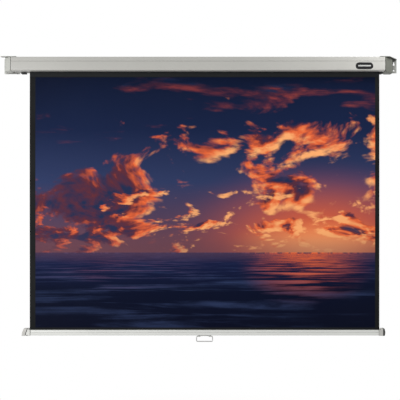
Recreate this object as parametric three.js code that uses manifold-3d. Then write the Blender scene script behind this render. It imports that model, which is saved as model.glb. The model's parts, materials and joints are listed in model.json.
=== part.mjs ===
// A pull-down projection screen on a spring roller, drawn down as far as it goes.
// Millimetres, +X to the viewer's right, -Y to the front, +Z up.
// The origin is the centre of the case's flat back, where it meets the wall.
import * as THREE from "three";
import { mergeVertices } from "three/addons/utils/BufferGeometryUtils.js";
import Module from "manifold-3d";

const wasm = await Module();
wasm.setup();

// Gaps
const seat = 0.3; // between pieces that are fixed to each other
const run = 0.3; // round a piece that turns or slides
const overrun = 2; // how far a cut runs past what it cuts

// Picture and fabric
const pictureWidth = 1600;
const sideBorder = 25;
const fabricThickness = 0.4;
const leftRoom = 76; // from the case's left end to the fabric, for the ratchet
const rightRoom = 14;
const fabricSetBack = 2 / 3; // of the case's depth, from its front
const wantedDrop = 1200; // from fully up to fully down, rounded to whole turns of the roller
const wrapRadius = 19.1; // from the roller's axis to the middle of the leaving fabric

// Case, a rolled sheet section open below
const caseHeight = 64;
const caseDepth = 75;
const caseWall = 1.5;
const caseRound = 3;
const caseFrontRound = 6;
const lipFront = 33;
const slotBehindFabric = 9;
const lipTurnUp = 5;
const creaseDrop = 20.7;
const creaseWidth = 3;
const creaseDepth = 1;
const rollerRise = 3; // roller axis above the middle of the case

// End caps: reach past the case, bevel seen in plan, drop below the case
const leftCap = { reach: 32, bevel: 18, drop: 1 };
const rightCap = { reach: 47, bevel: 45, drop: 6 };
const capWall = 3;
const jointGap = 2;
const jointDepth = 2;
const spigotDepth = 12;
const spigotWall = 2;
const spigotSlotMargin = 4;
const bossRadius = 10;
const bossInset = 2; // how far a boss reaches into the case

// Brackets, folded steel
const plate = 2.5;
const backPlate = 2;
const plateInward = 24;
const leftReach = 50;
const leftTab = { reach: 48, depth: 22, round: 3 };
const leftFootDepth = 14;
const rightReach = 74;
const rightNose = 22;
const rightChamferEnd = 8;
const earHoleRadius = 4.5;
const earSlotRadius = 2.6;
const earSlotRise = 9;
const leftKey = { out: 41, up: 0 };
const rightKey = { out: 61, up: 9 };
const rightHole = { out: 61, up: -19, radius: 3.4 };
const tabHole = { out: 39.5, back: 11.5, radius: 3.2 };
const topHole = { out: 60, back: 61, radius: 3.2 };

// Screws
const screwRadius = 2;
const screwHeadRadius = 4.2;
const screwHeadDepth = 2;
const screwLength = 12;
const topScrewBack = [17, 58]; // behind the front face
const topScrewInward = 5;
const backScrewOut = 18;
const footScrewInward = 14;
const footScrewLength = 8;

// Rubber stops below the case, where the bar's ends land.
// Near and far count outward from the bar's own end.
const stopHeight = 6.2;
const stopAhead = 5; // of the fabric
const stopBehind = 19;
const leftStop = { near: 10, far: 33 };
const rightStop = { near: -5.5, far: 6.5 };
const stopRound = 1.5;

// Badge on the front, left plain
const badge = { inward: 96.5, drop: 42.5, width: 81, height: 31, thickness: 1.2 };
const inlay = { width: 60, height: 7, thickness: 0.6 };

// Roller and its spring
const tubeWall = 1.2;
const tubeLead = 36; // bare tube past the fabric's left edge
const tubeTail = 2;
const keyWidth = 3; // the groove that holds the fabric's top edge
const keyDepth = 1.6;
const plugWall = 3;
const plugDepth = 25;
const rodRadius = 4;
const rodTail = 106; // past the spring's inner anchor
const rodSquare = 7;
const rodInCap = 13;
const ratchet = { inward: 22, thickness: 5.5, radius: 9, notchDepth: 2.6, notchWidth: 5.4 };
const post = { back: 10, up: 12, radius: 1.4, past: 2.5 };
const pawl = { width: 5.4, nose: 3, hook: 1.4, clear: 0.5, thickness: 4.4 };
const clip = { radius: 3, thickness: 1.2 };
const springTurns = 24;
const springPitch = 12;
const springRadius = 11;
const springWire = 2.2;
const anchorLength = 12;
const anchorHub = 8.4;
const anchorHubLength = 10;
const guideLength = 8;
const gudgeonRadius = 3;
const gudgeonInPlug = 16;
const bush = { wall: 2.4, length: 17, flange: 9, flangeDepth: 2 };

// Bottom bar, an extrusion
const barHeight = 26.3;
const barDepth = 16;
const barRound = 4;
const barPastFabric = 7;
const hemRodRadius = 2.6;
const hemDrop = 6.2;
const barLine = { drop: 9.4, width: 1.4, depth: 0.8 };
const barWall = 2;
const barHollowDrop = 13;

// Ends of the bar: a socket over the bar and an end piece, joined on a slanting seam.
// Places along the bar count outward from the bar's own end.
const barSocket = 10;
const barEndDepth = 24;
const barEndRise = 7.5;
const barEndFoot = 1.2;
const barEndRound = 5;
const seam = 1.5;
const stubRadius = 4;
const stubLength = 4;
const stubUp = 9;
const leftEnd = { step: -4, seamTop: 1, seamFoot: 14, top: 19, middle: 26, foot: 29.5 };
const rightEnd = { step: -2, seamTop: 9, seamFoot: 9, top: 15, middle: 18.4, foot: 16 };

// Pull handle, a wire bail in two ears
const wire = 4.5;
const handleWidth = 80;
const handleDrop = 24;
const handleRound = 5;
const handleEndInset = 19;
const earPlate = 1.5;
const handlePlateWidth = 62;
const handlePlateDepth = 14;
const handleEar = { at: 24, thickness: 2, depth: 10, below: 3.4 };
const handleScrewAt = 14;
const handleScrewLength = 7;

// Smoothness
const roundSides = 32;
const smallSides = 16;
const arcSteps = 4;
const springSteps = 8;
const springSides = 5;
const wireSides = 8;

// Worked out from the above
const fabricWidth = pictureWidth + 2 * sideBorder;
const caseLength = leftRoom + fabricWidth + rightRoom;
const halfLength = caseLength / 2;
const halfHeight = caseHeight / 2;
const fabricX = (leftRoom - rightRoom) / 2;
const fabricY = fabricSetBack * caseDepth - caseDepth;
const rollerY = fabricY - wrapRadius;
const slotRear = fabricY + slotBehindFabric;
const turnLength = 2 * Math.PI * wrapRadius;
const travel = Math.round(wantedDrop / turnLength) * turnLength;
const wrapOuter = wrapRadius - fabricThickness / 2 - seat;
const tubeRadius = wrapOuter - fabricThickness - seat;
const tubeBore = tubeRadius - tubeWall;
const fabricLeft = fabricX - fabricWidth / 2;
const fabricRight = fabricX + fabricWidth / 2;
const tubeLeft = fabricLeft - tubeLead;
const tubeRight = fabricRight + tubeTail;
const stopFoot = -halfHeight - seat - stopHeight;
const barEndTop = stopFoot - seat - travel;
const barTop = barEndTop - barEndRise;
const barLength = fabricWidth + 2 * barPastFabric;
const plateTop = halfHeight + seat + plate;
const pivotDrop = 2 * seat + earPlate + wire / 2 + seat;

function outline(corners) {
  // The points round a closed outline whose corners are [u, v, radius]
  const at = (i) => {
    const [u, v] = corners[(i + corners.length) % corners.length];
    return new THREE.Vector2(u, v);
  };
  return corners.flatMap(([, , radius = 0], i) => {
    const here = at(i);
    if (!radius) return [here];
    const back = at(i - 1).sub(here).normalize();
    const on = at(i + 1).sub(here).normalize();
    const half = Math.acos(THREE.MathUtils.clamp(back.dot(on), -1, 1)) / 2;
    const reach = radius / Math.tan(half);
    const middle = back.clone().add(on).normalize().multiplyScalar(radius / Math.sin(half));
    const centre = here.clone().add(middle);
    const start = here.clone().addScaledVector(back, reach).sub(centre).angle();
    const end = here.clone().addScaledVector(on, reach).sub(centre).angle();
    const turn = Math.atan2(Math.sin(end - start), Math.cos(end - start));
    return Array.from({ length: arcSteps + 1 }, (_, k) => {
      const angle = start + (turn * k) / arcSteps;
      return new THREE.Vector2(Math.cos(angle), Math.sin(angle)).multiplyScalar(radius).add(centre);
    });
  });
}

function solid(geometry) {
  geometry.deleteAttribute("normal");
  geometry.deleteAttribute("uv");
  const merged = mergeVertices(geometry);
  const vertProperties = merged.attributes.position.array;
  const triVerts = new Uint32Array(merged.index.array);
  return new wasm.Manifold(new wasm.Mesh({ numProp: 3, vertProperties, triVerts }));
}

// Prisms along an axis, from an outline across it
const across = {
  x: [new THREE.Vector3(0, 1, 0), new THREE.Vector3(0, 0, 1), new THREE.Vector3(1, 0, 0)],
  y: [new THREE.Vector3(1, 0, 0), new THREE.Vector3(0, 0, 1), new THREE.Vector3(0, -1, 0)],
  z: [new THREE.Vector3(1, 0, 0), new THREE.Vector3(0, 1, 0), new THREE.Vector3(0, 0, 1)],
};

function prism(axis, corners, from, to, holes = []) {
  const shape = new THREE.Shape(outline(corners));
  shape.holes = holes.map((hole) => new THREE.Path(outline(hole)));
  const depth = Math.abs(to - from);
  const geometry = new THREE.ExtrudeGeometry(shape, { depth, bevelEnabled: false });
  geometry.applyMatrix4(new THREE.Matrix4().makeBasis(...across[axis]));
  if (axis === "x") geometry.translate(Math.min(from, to), 0, 0);
  if (axis === "y") geometry.translate(0, Math.max(from, to), 0);
  if (axis === "z") geometry.translate(0, 0, Math.min(from, to));
  return solid(geometry);
}

function block(x0, x1, y0, y1, z0, z1) {
  const geometry = new THREE.BoxGeometry(Math.abs(x1 - x0), Math.abs(y1 - y0), Math.abs(z1 - z0));
  geometry.translate((x0 + x1) / 2, (y0 + y1) / 2, (z0 + z1) / 2);
  return solid(geometry);
}

// A round bar along an axis, round the point given by the other two axes in order
function round(axis, radius, from, to, u = 0, v = 0, sides = roundSides) {
  const geometry = new THREE.CylinderGeometry(radius, radius, Math.abs(to - from), sides);
  const middle = (from + to) / 2;
  if (axis === "x") geometry.rotateZ(-Math.PI / 2).translate(middle, u, v);
  if (axis === "y") geometry.translate(u, middle, v);
  if (axis === "z") geometry.rotateX(Math.PI / 2).translate(u, v, middle);
  return solid(geometry);
}

function tube(radius, bore, from, to, sides = roundSides) {
  return round("x", radius, from, to, 0, 0, sides).subtract(
    round("x", bore, from - overrun, to + overrun, 0, 0, sides),
  );
}

function joined(first, ...others) {
  return others.reduce((sum, other) => sum.add(other), first);
}

function without(first, ...cuts) {
  return cuts.reduce((left, cut) => left.subtract(cut), first);
}

function geometryOf(made) {
  const { vertProperties, triVerts } = made.getMesh();
  const geometry = new THREE.BufferGeometry();
  geometry.setAttribute("position", new THREE.BufferAttribute(vertProperties, 3));
  geometry.setIndex(new THREE.BufferAttribute(triVerts, 1));
  geometry.computeVertexNormals();
  return geometry;
}

const finish = (color, roughness, metalness = 0) =>
  new THREE.MeshStandardMaterial({ color, roughness, metalness });
const casePaint = finish(0xcfcdc8, 0.45, 0.2);
const paleCap = finish(0xcecfc8, 0.55);
const darkCap = finish(0x82847a, 0.5, 0.3);
const bracketSteel = finish(0xbcbcb6, 0.4, 0.7);
const brightSteel = finish(0xa8a9a8, 0.3, 0.9);
const blackRubber = finish(0x1c1c1d, 0.8);
const badgeBlack = finish(0x141415, 0.4);
const badgePale = finish(0xb9b9b6, 0.5);
const fabricBlack = finish(0x24262b, 0.85);
const greyPlastic = finish(0x8d8f90, 0.5);
const whitePlastic = finish(0xdcdcd6, 0.5);
const barMetal = finish(0xdadbd6, 0.4, 0.3);
const barEndPale = finish(0xc6c7c1, 0.5);
const barEndDark = finish(0x47443c, 0.6);

function add(group, name, made, material) {
  const mesh = new THREE.Mesh(made.isBufferGeometry ? made : geometryOf(made), material);
  mesh.name = name;
  group.add(mesh);
  return mesh;
}

function groupAt(parent, x, y, z) {
  const group = new THREE.Group();
  group.position.set(x, y, z);
  parent.add(group);
  return group;
}

// A screw along +Z with its head's top at zero, and the hole that it needs
function screwShape(length, clearance = 0) {
  const head = screwHeadRadius + clearance;
  const shank = screwRadius + clearance;
  const top = clearance ? [[head, overrun], [0, overrun]] : [[0, 0]];
  const profile = [
    [0, -length - clearance],
    [shank, -length - clearance],
    [shank, -screwHeadDepth],
    [head, 0],
    ...top,
  ];
  const points = profile.map(([r, z]) => new THREE.Vector2(r, z));
  return new THREE.LatheGeometry(points, smallSides).rotateX(Math.PI / 2);
}

// The same screw with a domed head that stands on the surface
function domedScrew(length) {
  const dome = Array.from({ length: arcSteps + 1 }, (_, k) => {
    const angle = ((Math.PI / 2) * k) / arcSteps;
    return new THREE.Vector2(
      screwHeadRadius * Math.cos(angle),
      screwHeadDepth * Math.sin(angle),
    );
  });
  dome[dome.length - 1].x = 0;
  const points = [
    new THREE.Vector2(0, -length),
    new THREE.Vector2(screwRadius, -length),
    new THREE.Vector2(screwRadius, 0),
    ...dome,
  ];
  return new THREE.LatheGeometry(points, smallSides).rotateX(Math.PI / 2);
}

const screen = new THREE.Group();
const housing = groupAt(screen, 0, 0, 0);
const roller = groupAt(screen, 0, rollerY, rollerRise);
const bar = groupAt(screen, fabricX, fabricY, barTop);
const handle = groupAt(bar, 0, 0, -barHeight - pivotDrop);

// Case

const creaseUp = halfHeight - creaseDrop;

function caseSection() {
  const front = -caseDepth;
  const slotFront = front + lipFront;
  const inner = caseRound - caseWall;
  const lip = -halfHeight + lipTurnUp;
  const half = creaseWidth / 2;
  const quarter = creaseWidth / 4;
  const folded = caseWall + seat;
  return [
    [slotFront, lip],
    [slotFront, -halfHeight, folded],
    [front, -halfHeight, caseFrontRound],
    [front, creaseUp - half],
    [front + creaseDepth, creaseUp - quarter],
    [front + creaseDepth, creaseUp + quarter],
    [front, creaseUp + half],
    [front, halfHeight, caseRound],
    [0, halfHeight, caseRound],
    [0, -halfHeight, caseRound],
    [slotRear, -halfHeight, folded],
    [slotRear, lip],
    [slotRear + caseWall, lip],
    [slotRear + caseWall, -halfHeight + caseWall],
    [-caseWall, -halfHeight + caseWall, inner],
    [-caseWall, halfHeight - caseWall, inner],
    [front + caseWall, halfHeight - caseWall, inner],
    [front + caseWall, creaseUp + half],
    [front + caseWall + creaseDepth, creaseUp + quarter],
    [front + caseWall + creaseDepth, creaseUp - quarter],
    [front + caseWall, creaseUp - half],
    [front + caseWall, -halfHeight + caseWall, caseFrontRound - caseWall],
    [slotFront - caseWall, -halfHeight + caseWall],
    [slotFront - caseWall, lip],
  ];
}

const screwHole = (x, y) =>
  round("z", screwRadius + run, halfHeight - spigotDepth, plateTop, x, y, smallSides);

const topScrewPlaces = [-1, 1].flatMap((side) =>
  topScrewBack.map((back, i) => ({
    name: `bracket_screw_${side < 0 ? "left" : "right"}_${i ? "rear" : "front"}`,
    x: side * (halfLength - topScrewInward),
    y: back - caseDepth,
  })),
);
const footScrew = { x: footScrewInward - halfLength, y: -leftFootDepth / 2 };

function caseShell() {
  const shell = prism("x", caseSection(), -halfLength, halfLength);
  const holes = topScrewPlaces.map(({ x, y }) => screwHole(x, y));
  const foot = round(
    "z",
    screwRadius + run,
    -halfHeight - overrun,
    -halfHeight + caseWall + overrun,
    footScrew.x,
    footScrew.y,
    smallSides,
  );
  return without(shell, ...holes, foot);
}

add(housing, "case_shell", caseShell(), casePaint);

// End caps

// A rectangle across the case, set in from its outside and lowered by drop at the foot
function insetSection(inset, drop = 0, backInset = inset) {
  const round = Math.max(caseRound - inset, 0);
  const frontRound = Math.max(caseFrontRound - inset, 0);
  return [
    [-caseDepth + inset, -halfHeight + inset - drop, frontRound],
    [-caseDepth + inset, halfHeight - inset, round],
    [-backInset, halfHeight - inset, round],
    [-backInset, -halfHeight + inset - drop, round],
  ];
}

function endCap(side, cap, fitting) {
  const out = (u) => side * (halfLength + u);
  const capBack = backPlate + seat;
  const slope = cap.bevel / (cap.reach - jointGap);
  const bevelWall = capWall * Math.hypot(1, slope);
  const inner = cap.reach - capWall;
  const plan = [
    [out(-spigotDepth), -caseDepth],
    [out(jointGap), -caseDepth],
    [out(cap.reach), cap.bevel - caseDepth],
    [out(cap.reach), -capBack],
    [out(-spigotDepth), -capBack],
  ];
  const tall = halfHeight + cap.drop + overrun;
  const planSolid = prism("z", plan, -tall, tall);
  const body = prism("x", insetSection(0, cap.drop, capBack), out(jointGap), out(cap.reach))
    .intersect(planSolid);
  const collar = prism("x", insetSection(jointDepth, 0, capBack), out(-seat), out(jointGap + overrun));
  const spigot = prism("x", insetSection(caseWall + seat), out(-spigotDepth), out(seat));
  const hollowInset = caseWall + seat + spigotWall;
  const hollowPlan = [
    [out(-spigotDepth - overrun), -caseDepth + hollowInset],
    [out(jointGap), -caseDepth + Math.max(hollowInset, bevelWall)],
    [out(inner), -caseDepth + bevelWall + slope * (inner - jointGap)],
    [out(inner), -capBack - capWall],
    [out(-spigotDepth - overrun), -capBack - capWall],
  ];
  const hollow = prism("x", insetSection(hollowInset), out(-spigotDepth - overrun), out(inner))
    .intersect(prism("z", hollowPlan, -tall, tall));
  const boss = round("x", bossRadius, out(-bossInset), out(inner + overrun / 2), rollerY, rollerRise)
    .intersect(planSolid);
  const creaseCut = block(
    out(-spigotDepth - overrun),
    out(0),
    -caseDepth,
    -caseDepth + hollowInset + overrun,
    creaseUp - creaseWidth,
    creaseUp + creaseWidth,
  );
  const slotCut = block(
    out(-spigotDepth - overrun),
    out(0),
    -caseDepth + lipFront - spigotSlotMargin,
    slotRear + spigotSlotMargin,
    -halfHeight,
    -halfHeight + hollowInset + lipTurnUp + overrun,
  );
  const screws = topScrewPlaces
    .filter(({ x }) => Math.sign(x) === side)
    .map(({ x, y }) => screwHole(x, y));
  const backScrew = round(
    "y",
    screwRadius + run,
    -screwLength - overrun,
    0,
    out(backScrewOut),
    0,
    smallSides,
  );
  const shell = without(joined(body, collar, spigot), hollow, creaseCut, slotCut);
  return without(joined(shell, boss), fitting(out), ...screws, backScrew);
}

const squareSocket = (out) => {
  const half = rodSquare / 2 + seat;
  return block(
    out(-bossInset - overrun),
    out(rodInCap + seat),
    rollerY - half,
    rollerY + half,
    rollerRise - half,
    rollerRise + half,
  );
};
const bushRadius = gudgeonRadius + run + bush.wall;
const roundSocket = (out) =>
  round(
    "x",
    bushRadius + seat,
    out(-bossInset - overrun),
    out(bush.length - bossInset + seat),
    rollerY,
    rollerRise,
  );

add(housing, "end_cap_left", endCap(-1, leftCap, squareSocket), paleCap);
add(housing, "end_cap_right", endCap(1, rightCap, roundSocket), darkCap);

// Brackets

// A keyhole through a back plate: a round hole with a narrow slot above it
function keyhole(x, z) {
  return joined(
    round("y", earHoleRadius, -backPlate - overrun, overrun, x, z, smallSides),
    round("y", earSlotRadius, -backPlate - overrun, overrun, x, z + earSlotRise, smallSides),
    block(
      x - earSlotRadius,
      x + earSlotRadius,
      -backPlate - overrun,
      overrun,
      z,
      z + earSlotRise,
    ),
  );
}

function bracket(side, topPlan, back, holes) {
  const out = (u) => side * (halfLength + u);
  const under = halfHeight + seat;
  const top = prism("z", topPlan.map(([u, y, r]) => [out(u), y, r]), under, plateTop);
  const rear = block(out(2 * seat), out(back.reach), -backPlate, 0, back.foot, plateTop);
  const heads = topScrewPlaces
    .filter(({ x }) => Math.sign(x) === side)
    .map(({ x, y }) => solid(screwShape(screwLength, run)).translate([x, y, plateTop]));
  const backScrew = solid(screwShape(screwLength, run).rotateX(-Math.PI / 2));
  return without(
    joined(top, rear, ...(back.extra || [])),
    ...heads,
    backScrew.translate([out(backScrewOut), 0, 0]),
    ...holes,
  );
}

const leftOut = (u) => -halfLength - u;
const rightOut = (u) => halfLength + u;
const leftFootTop = -halfHeight - leftCap.drop - seat;
const topHoleAt = (x, y, radius) =>
  round("z", radius, halfHeight, plateTop + overrun, x, y, smallSides);

const leftBracket = bracket(
  -1,
  [
    [-plateInward, -caseDepth],
    [leftTab.reach, -caseDepth, leftTab.round],
    [leftTab.reach, -caseDepth + leftTab.depth, leftTab.round],
    [leftCap.reach, -caseDepth + leftTab.depth],
    [leftCap.reach, 0],
    [-plateInward, 0],
  ],
  {
    reach: leftReach,
    foot: leftFootTop - plate,
    extra: [
      block(leftOut(-plateInward), leftOut(-2 * seat), -leftFootDepth, -seat,
        leftFootTop - plate, leftFootTop),
      block(leftOut(-2 * seat), leftOut(leftCap.reach), -leftFootDepth, 0,
        leftFootTop - plate, leftFootTop),
    ],
  },
  [
    keyhole(leftOut(leftKey.out), leftKey.up),
    topHoleAt(leftOut(tabHole.out), -caseDepth + tabHole.back, tabHole.radius),
    round("z", screwRadius + run, leftFootTop - plate - overrun, -halfHeight,
      footScrew.x, footScrew.y, smallSides),
  ],
);
add(housing, "bracket_left", leftBracket, bracketSteel);

const rightBracket = bracket(
  1,
  [
    [-plateInward, -caseDepth],
    [rightNose, -caseDepth],
    [rightReach, -rightChamferEnd],
    [rightReach, 0],
    [-plateInward, 0],
  ],
  { reach: rightReach, foot: -halfHeight },
  [
    keyhole(rightOut(rightKey.out), rightKey.up),
    topHoleAt(rightOut(topHole.out), -caseDepth + topHole.back, topHole.radius),
    round("y", rightHole.radius, -backPlate - overrun, overrun,
      rightOut(rightHole.out), rightHole.up, smallSides),
  ],
);
add(housing, "bracket_right", rightBracket, bracketSteel);

for (const { name, x, y } of topScrewPlaces) {
  add(housing, name, screwShape(screwLength), brightSteel).position.set(x, y, plateTop);
}
for (const [name, x] of [["left", leftOut(backScrewOut)], ["right", rightOut(backScrewOut)]]) {
  const geometry = screwShape(screwLength).rotateX(-Math.PI / 2);
  add(housing, `back_screw_${name}`, geometry, brightSteel).position.set(x, 0, 0);
}
const footGeometry = domedScrew(footScrewLength).rotateX(Math.PI);
add(housing, "foot_screw_left", footGeometry, brightSteel)
  .position.set(footScrew.x, footScrew.y, leftFootTop - plate - seat);

// Rubber stops under the rear lip

const stopSection = [
  [fabricY - stopAhead, stopFoot, stopRound],
  [fabricY + stopBehind, stopFoot, stopRound],
  [fabricY + stopBehind, stopFoot + stopHeight],
  [fabricY - stopAhead, stopFoot + stopHeight],
];
const barLeft = fabricX - barLength / 2;
const barRight = fabricX + barLength / 2;
add(housing, "stop_left",
  prism("x", stopSection, barLeft - leftStop.far, barLeft - leftStop.near), blackRubber);
add(housing, "stop_right",
  prism("x", stopSection, barRight + rightStop.near, barRight + rightStop.far), blackRubber);

// Badge

const stadium = (width, height) => [
  [-width / 2, -height / 2, height / 2 - seat],
  [width / 2, -height / 2, height / 2 - seat],
  [width / 2, height / 2, height / 2 - seat],
  [-width / 2, height / 2, height / 2 - seat],
];
const badgeFace = -caseDepth - seat - badge.thickness;
const badgePlace = groupAt(housing, halfLength - badge.inward, 0, halfHeight - badge.drop);
add(badgePlace, "badge_plate",
  prism("y", stadium(badge.width, badge.height), badgeFace, badgeFace + badge.thickness), badgeBlack);
add(badgePlace, "badge_inlay",
  prism("y", stadium(inlay.width, inlay.height), badgeFace - seat - inlay.thickness, badgeFace - seat),
  badgePale);

// Spring rod, fixed in the left cap, with the ratchet and the spring's inner anchor on it

const fixed = groupAt(screen, 0, rollerY, rollerRise);
const rodStart = leftOut(rodInCap);
const rodShoulder = leftOut(-bossInset) + seat;
const springStart = tubeLeft + plugDepth + anchorLength + seat;
const springLength = springTurns * springPitch;
const springEnd = springStart + springLength;
const rodEnd = springEnd + anchorLength + rodTail;

const halfSquare = rodSquare / 2;
add(fixed, "spring_rod",
  joined(
    round("x", rodRadius, rodShoulder, rodEnd, 0, 0, smallSides),
    block(rodStart, rodShoulder + overrun, -halfSquare, halfSquare, -halfSquare, halfSquare),
  ), brightSteel);

const ratchetStart = ratchet.inward - halfLength;

function ratchetWheel() {
  const { thickness, radius, notchDepth, notchWidth } = ratchet;
  const from = ratchetStart;
  const to = ratchetStart + thickness;
  const wheel = tube(radius, rodRadius + seat, from, to);
  const notch = (up) =>
    block(from - overrun, to + overrun, -notchWidth / 2, notchWidth / 2,
      up * (radius - notchDepth), up * (radius + overrun));
  return without(wheel, notch(1), notch(-1));
}
add(fixed, "ratchet_wheel", ratchetWheel(), brightSteel);

class Winding extends THREE.Curve {
  constructor(start, length, turns, radius) {
    super();
    Object.assign(this, { start, length, turns, radius });
  }
  getPoint(t, target = new THREE.Vector3()) {
    const angle = 2 * Math.PI * this.turns * t;
    return target.set(
      this.start + this.length * t,
      this.radius * Math.cos(angle),
      this.radius * Math.sin(angle),
    );
  }
}

function polygon(radius, sides) {
  return Array.from({ length: sides }, (_, k) => {
    const angle = (2 * Math.PI * k) / sides;
    return new THREE.Vector2(radius * Math.cos(angle), radius * Math.sin(angle));
  });
}

const winding = new Winding(
  springStart + springWire / 2 + seat,
  springLength - springWire - 2 * seat,
  springTurns,
  springRadius,
);
const windingSteps = springTurns * springSteps;
winding.arcLengthDivisions = windingSteps;
add(fixed, "torsion_spring",
  new THREE.ExtrudeGeometry(new THREE.Shape(polygon(springWire / 2, springSides)), {
    steps: windingSteps,
    extrudePath: winding,
    bevelEnabled: false,
  }), brightSteel);
{
  const line = winding.getPoints(windingSteps);
  const apart = line.flatMap((p, i) => line.slice(i + springSteps / 2).map((q) => p.distanceTo(q)));
  const least = apart.reduce((a, b) => Math.min(a, b)) - springWire;
  console.log(`torsion_spring: least gap between turns ${least.toFixed(2)} mm`);
}

// An anchor: a flange with a hub that the spring's last turns sit on
function anchor(flangeRadius, bore, from, towards) {
  const to = from + towards * anchorLength;
  const hub = to + towards * anchorHubLength;
  const flange = round("x", flangeRadius, from, to);
  const spool = round("x", anchorHub, to - towards * overrun, hub);
  const cut = round("x", bore, from - towards * overrun, hub + towards * overrun, 0, 0, smallSides);
  return without(joined(flange, spool), cut);
}
add(fixed, "spring_anchor_inner",
  anchor(springRadius + springWire, rodRadius + seat, springEnd + anchorLength, -1), brightSteel);

// Bush for the right-hand journal

const bushStart = rightOut(-bossInset);
add(fixed, "bearing_bush",
  without(
    joined(
      round("x", bushRadius, bushStart - seat - bush.flangeDepth / 2, bushStart + bush.length),
      round("x", bush.flange, bushStart - seat - bush.flangeDepth, bushStart - seat),
    ),
    round("x", gudgeonRadius + run, bushStart - overrun - bush.flangeDepth,
      bushStart + bush.length + overrun, 0, 0, smallSides),
  ), whitePlastic);

// Roller

function rollerTube() {
  const plain = tube(tubeRadius, tubeBore, tubeLeft, tubeRight);
  const half = keyWidth / 2;
  const bed = tubeRadius - keyDepth;
  const rail = block(tubeLeft, tubeRight, -keyWidth, keyWidth, -tubeRadius + seat, -bed + tubeWall);
  const groove = block(tubeLeft - overrun, tubeRight + overrun, -half, half, -tubeRadius - overrun, -bed);
  return without(joined(plain, rail), groove);
}
add(roller, "roller_tube", rollerTube(), brightSteel);
add(roller, "fabric_spline",
  block(fabricLeft, fabricRight, -keyWidth / 2 + seat, keyWidth / 2 - seat,
    -tubeRadius + seat, -tubeRadius + keyDepth - seat), whitePlastic);
add(roller, "fabric_wrap",
  tube(wrapOuter, wrapOuter - fabricThickness, fabricLeft, fabricRight), blackRubber);

const pawlMiddle = ratchetStart + ratchet.thickness / 2;
const pawlEnd = pawlMiddle - pawl.thickness / 2;
const pawlFace = tubeLeft - seat - plugWall - seat;
const railCut = (from, to) =>
  block(from, to, -keyWidth - seat, keyWidth + seat, -tubeRadius, -tubeRadius + keyDepth + tubeWall + seat);

function springPlug() {
  const face = tubeLeft - seat;
  const flange = round("x", tubeRadius, face - plugWall, face);
  const core = round("x", tubeBore - seat, face - plugWall / 2, tubeLeft + plugDepth)
    .subtract(railCut(tubeLeft - seat, tubeLeft + plugDepth + overrun));
  const posts = [1, -1].map((side) =>
    round("x", post.radius, pawlEnd - post.past, face - plugWall / 2,
      -side * post.back, side * post.up, smallSides),
  );
  const bore = round("x", rodRadius + run, face - plugWall - overrun, tubeLeft + plugDepth + overrun,
    0, 0, smallSides);
  return joined(without(joined(flange, core), bore), ...posts);
}
add(roller, "spring_plug", springPlug(), greyPlastic);
add(roller, "spring_anchor_outer",
  anchor(tubeBore - seat, rodRadius + run, tubeLeft + plugDepth + seat, 1)
    .subtract(railCut(tubeLeft + plugDepth, springStart)), greyPlastic);

function rodGuide() {
  const from = rodEnd - guideLength;
  const disc = round("x", tubeBore - seat, from, rodEnd);
  const bore = round("x", rodRadius + run, from - overrun, rodEnd + overrun, 0, 0, smallSides);
  return without(disc, bore, railCut(from - overrun, rodEnd + overrun));
}
add(roller, "rod_guide", rodGuide(), whitePlastic);

function idlePlug() {
  const face = tubeRight + seat;
  const flange = round("x", tubeRadius, face, face + plugWall);
  const core = round("x", tubeBore - seat, tubeRight - plugDepth, face + plugWall / 2)
    .subtract(railCut(tubeRight - plugDepth - overrun, tubeRight + seat));
  const bore = round("x", gudgeonRadius + seat, tubeRight - plugDepth - overrun, face + plugWall + overrun,
    0, 0, smallSides);
  return without(joined(flange, core), bore);
}
add(roller, "idle_plug", idlePlug(), greyPlastic);
add(roller, "gudgeon_pin",
  round("x", gudgeonRadius, tubeRight - gudgeonInPlug, bushStart + bush.length - overrun, 0, 0, smallSides),
  brightSteel);

// Pawls on the plug's posts: each drops into a notch when the roller turns slowly

function pawlShape(side) {
  const { width, nose, hook } = pawl;
  const reach = post.back;
  const tip = ratchet.radius + pawl.clear - post.up;
  const arm = [
    [-width / 2, -width / 2, width / 2 - seat],
    [reach - nose / 2, tip + hook],
    [reach - nose / 2, tip],
    [reach + nose / 2, tip],
    [reach + nose / 2, width / 2],
    [-width / 2, width / 2, width / 2 - seat],
  ].map(([u, v, r]) => [side * u, side * v, r]);
  const body = prism("x", arm, pawlEnd, pawlEnd + pawl.thickness);
  const sleeve = round("x", width / 2, pawlMiddle, pawlFace, 0, 0, smallSides);
  const bore = round("x", post.radius + run, pawlEnd - overrun, pawlFace + overrun, 0, 0, smallSides);
  return joined(body, sleeve).subtract(bore);
}
for (const [name, side] of [["upper", 1], ["lower", -1]]) {
  const pivot = groupAt(roller, 0, -side * post.back, side * post.up);
  add(pivot, `pawl_${name}`, pawlShape(side), brightSteel);
  add(pivot, `pawl_clip_${name}`,
    without(
      round("x", clip.radius, pawlEnd - seat - clip.thickness, pawlEnd - seat, 0, 0, smallSides),
      round("x", post.radius + seat, pawlEnd - clip.thickness - overrun, pawlEnd, 0, 0, smallSides),
    ), blackRubber);
}

// Fabric, hanging from the back of the roller into the bar

add(screen, "screen_fabric",
  block(fabricLeft, fabricRight, fabricY - fabricThickness / 2, fabricY + fabricThickness / 2,
    barTop - hemDrop + hemRodRadius + seat, rollerRise), fabricBlack);

// Bottom bar

const slotHalf = fabricThickness / 2 + seat;

function rectangle(width, top, foot, radius) {
  return [
    [-width / 2, foot, radius],
    [width / 2, foot, radius],
    [width / 2, top, radius],
    [-width / 2, top, radius],
  ];
}

const bottomHole = (x) =>
  round("z", screwRadius + run, -barHeight - overrun, -barHeight + barWall + overrun, x, 0, smallSides);

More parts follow.
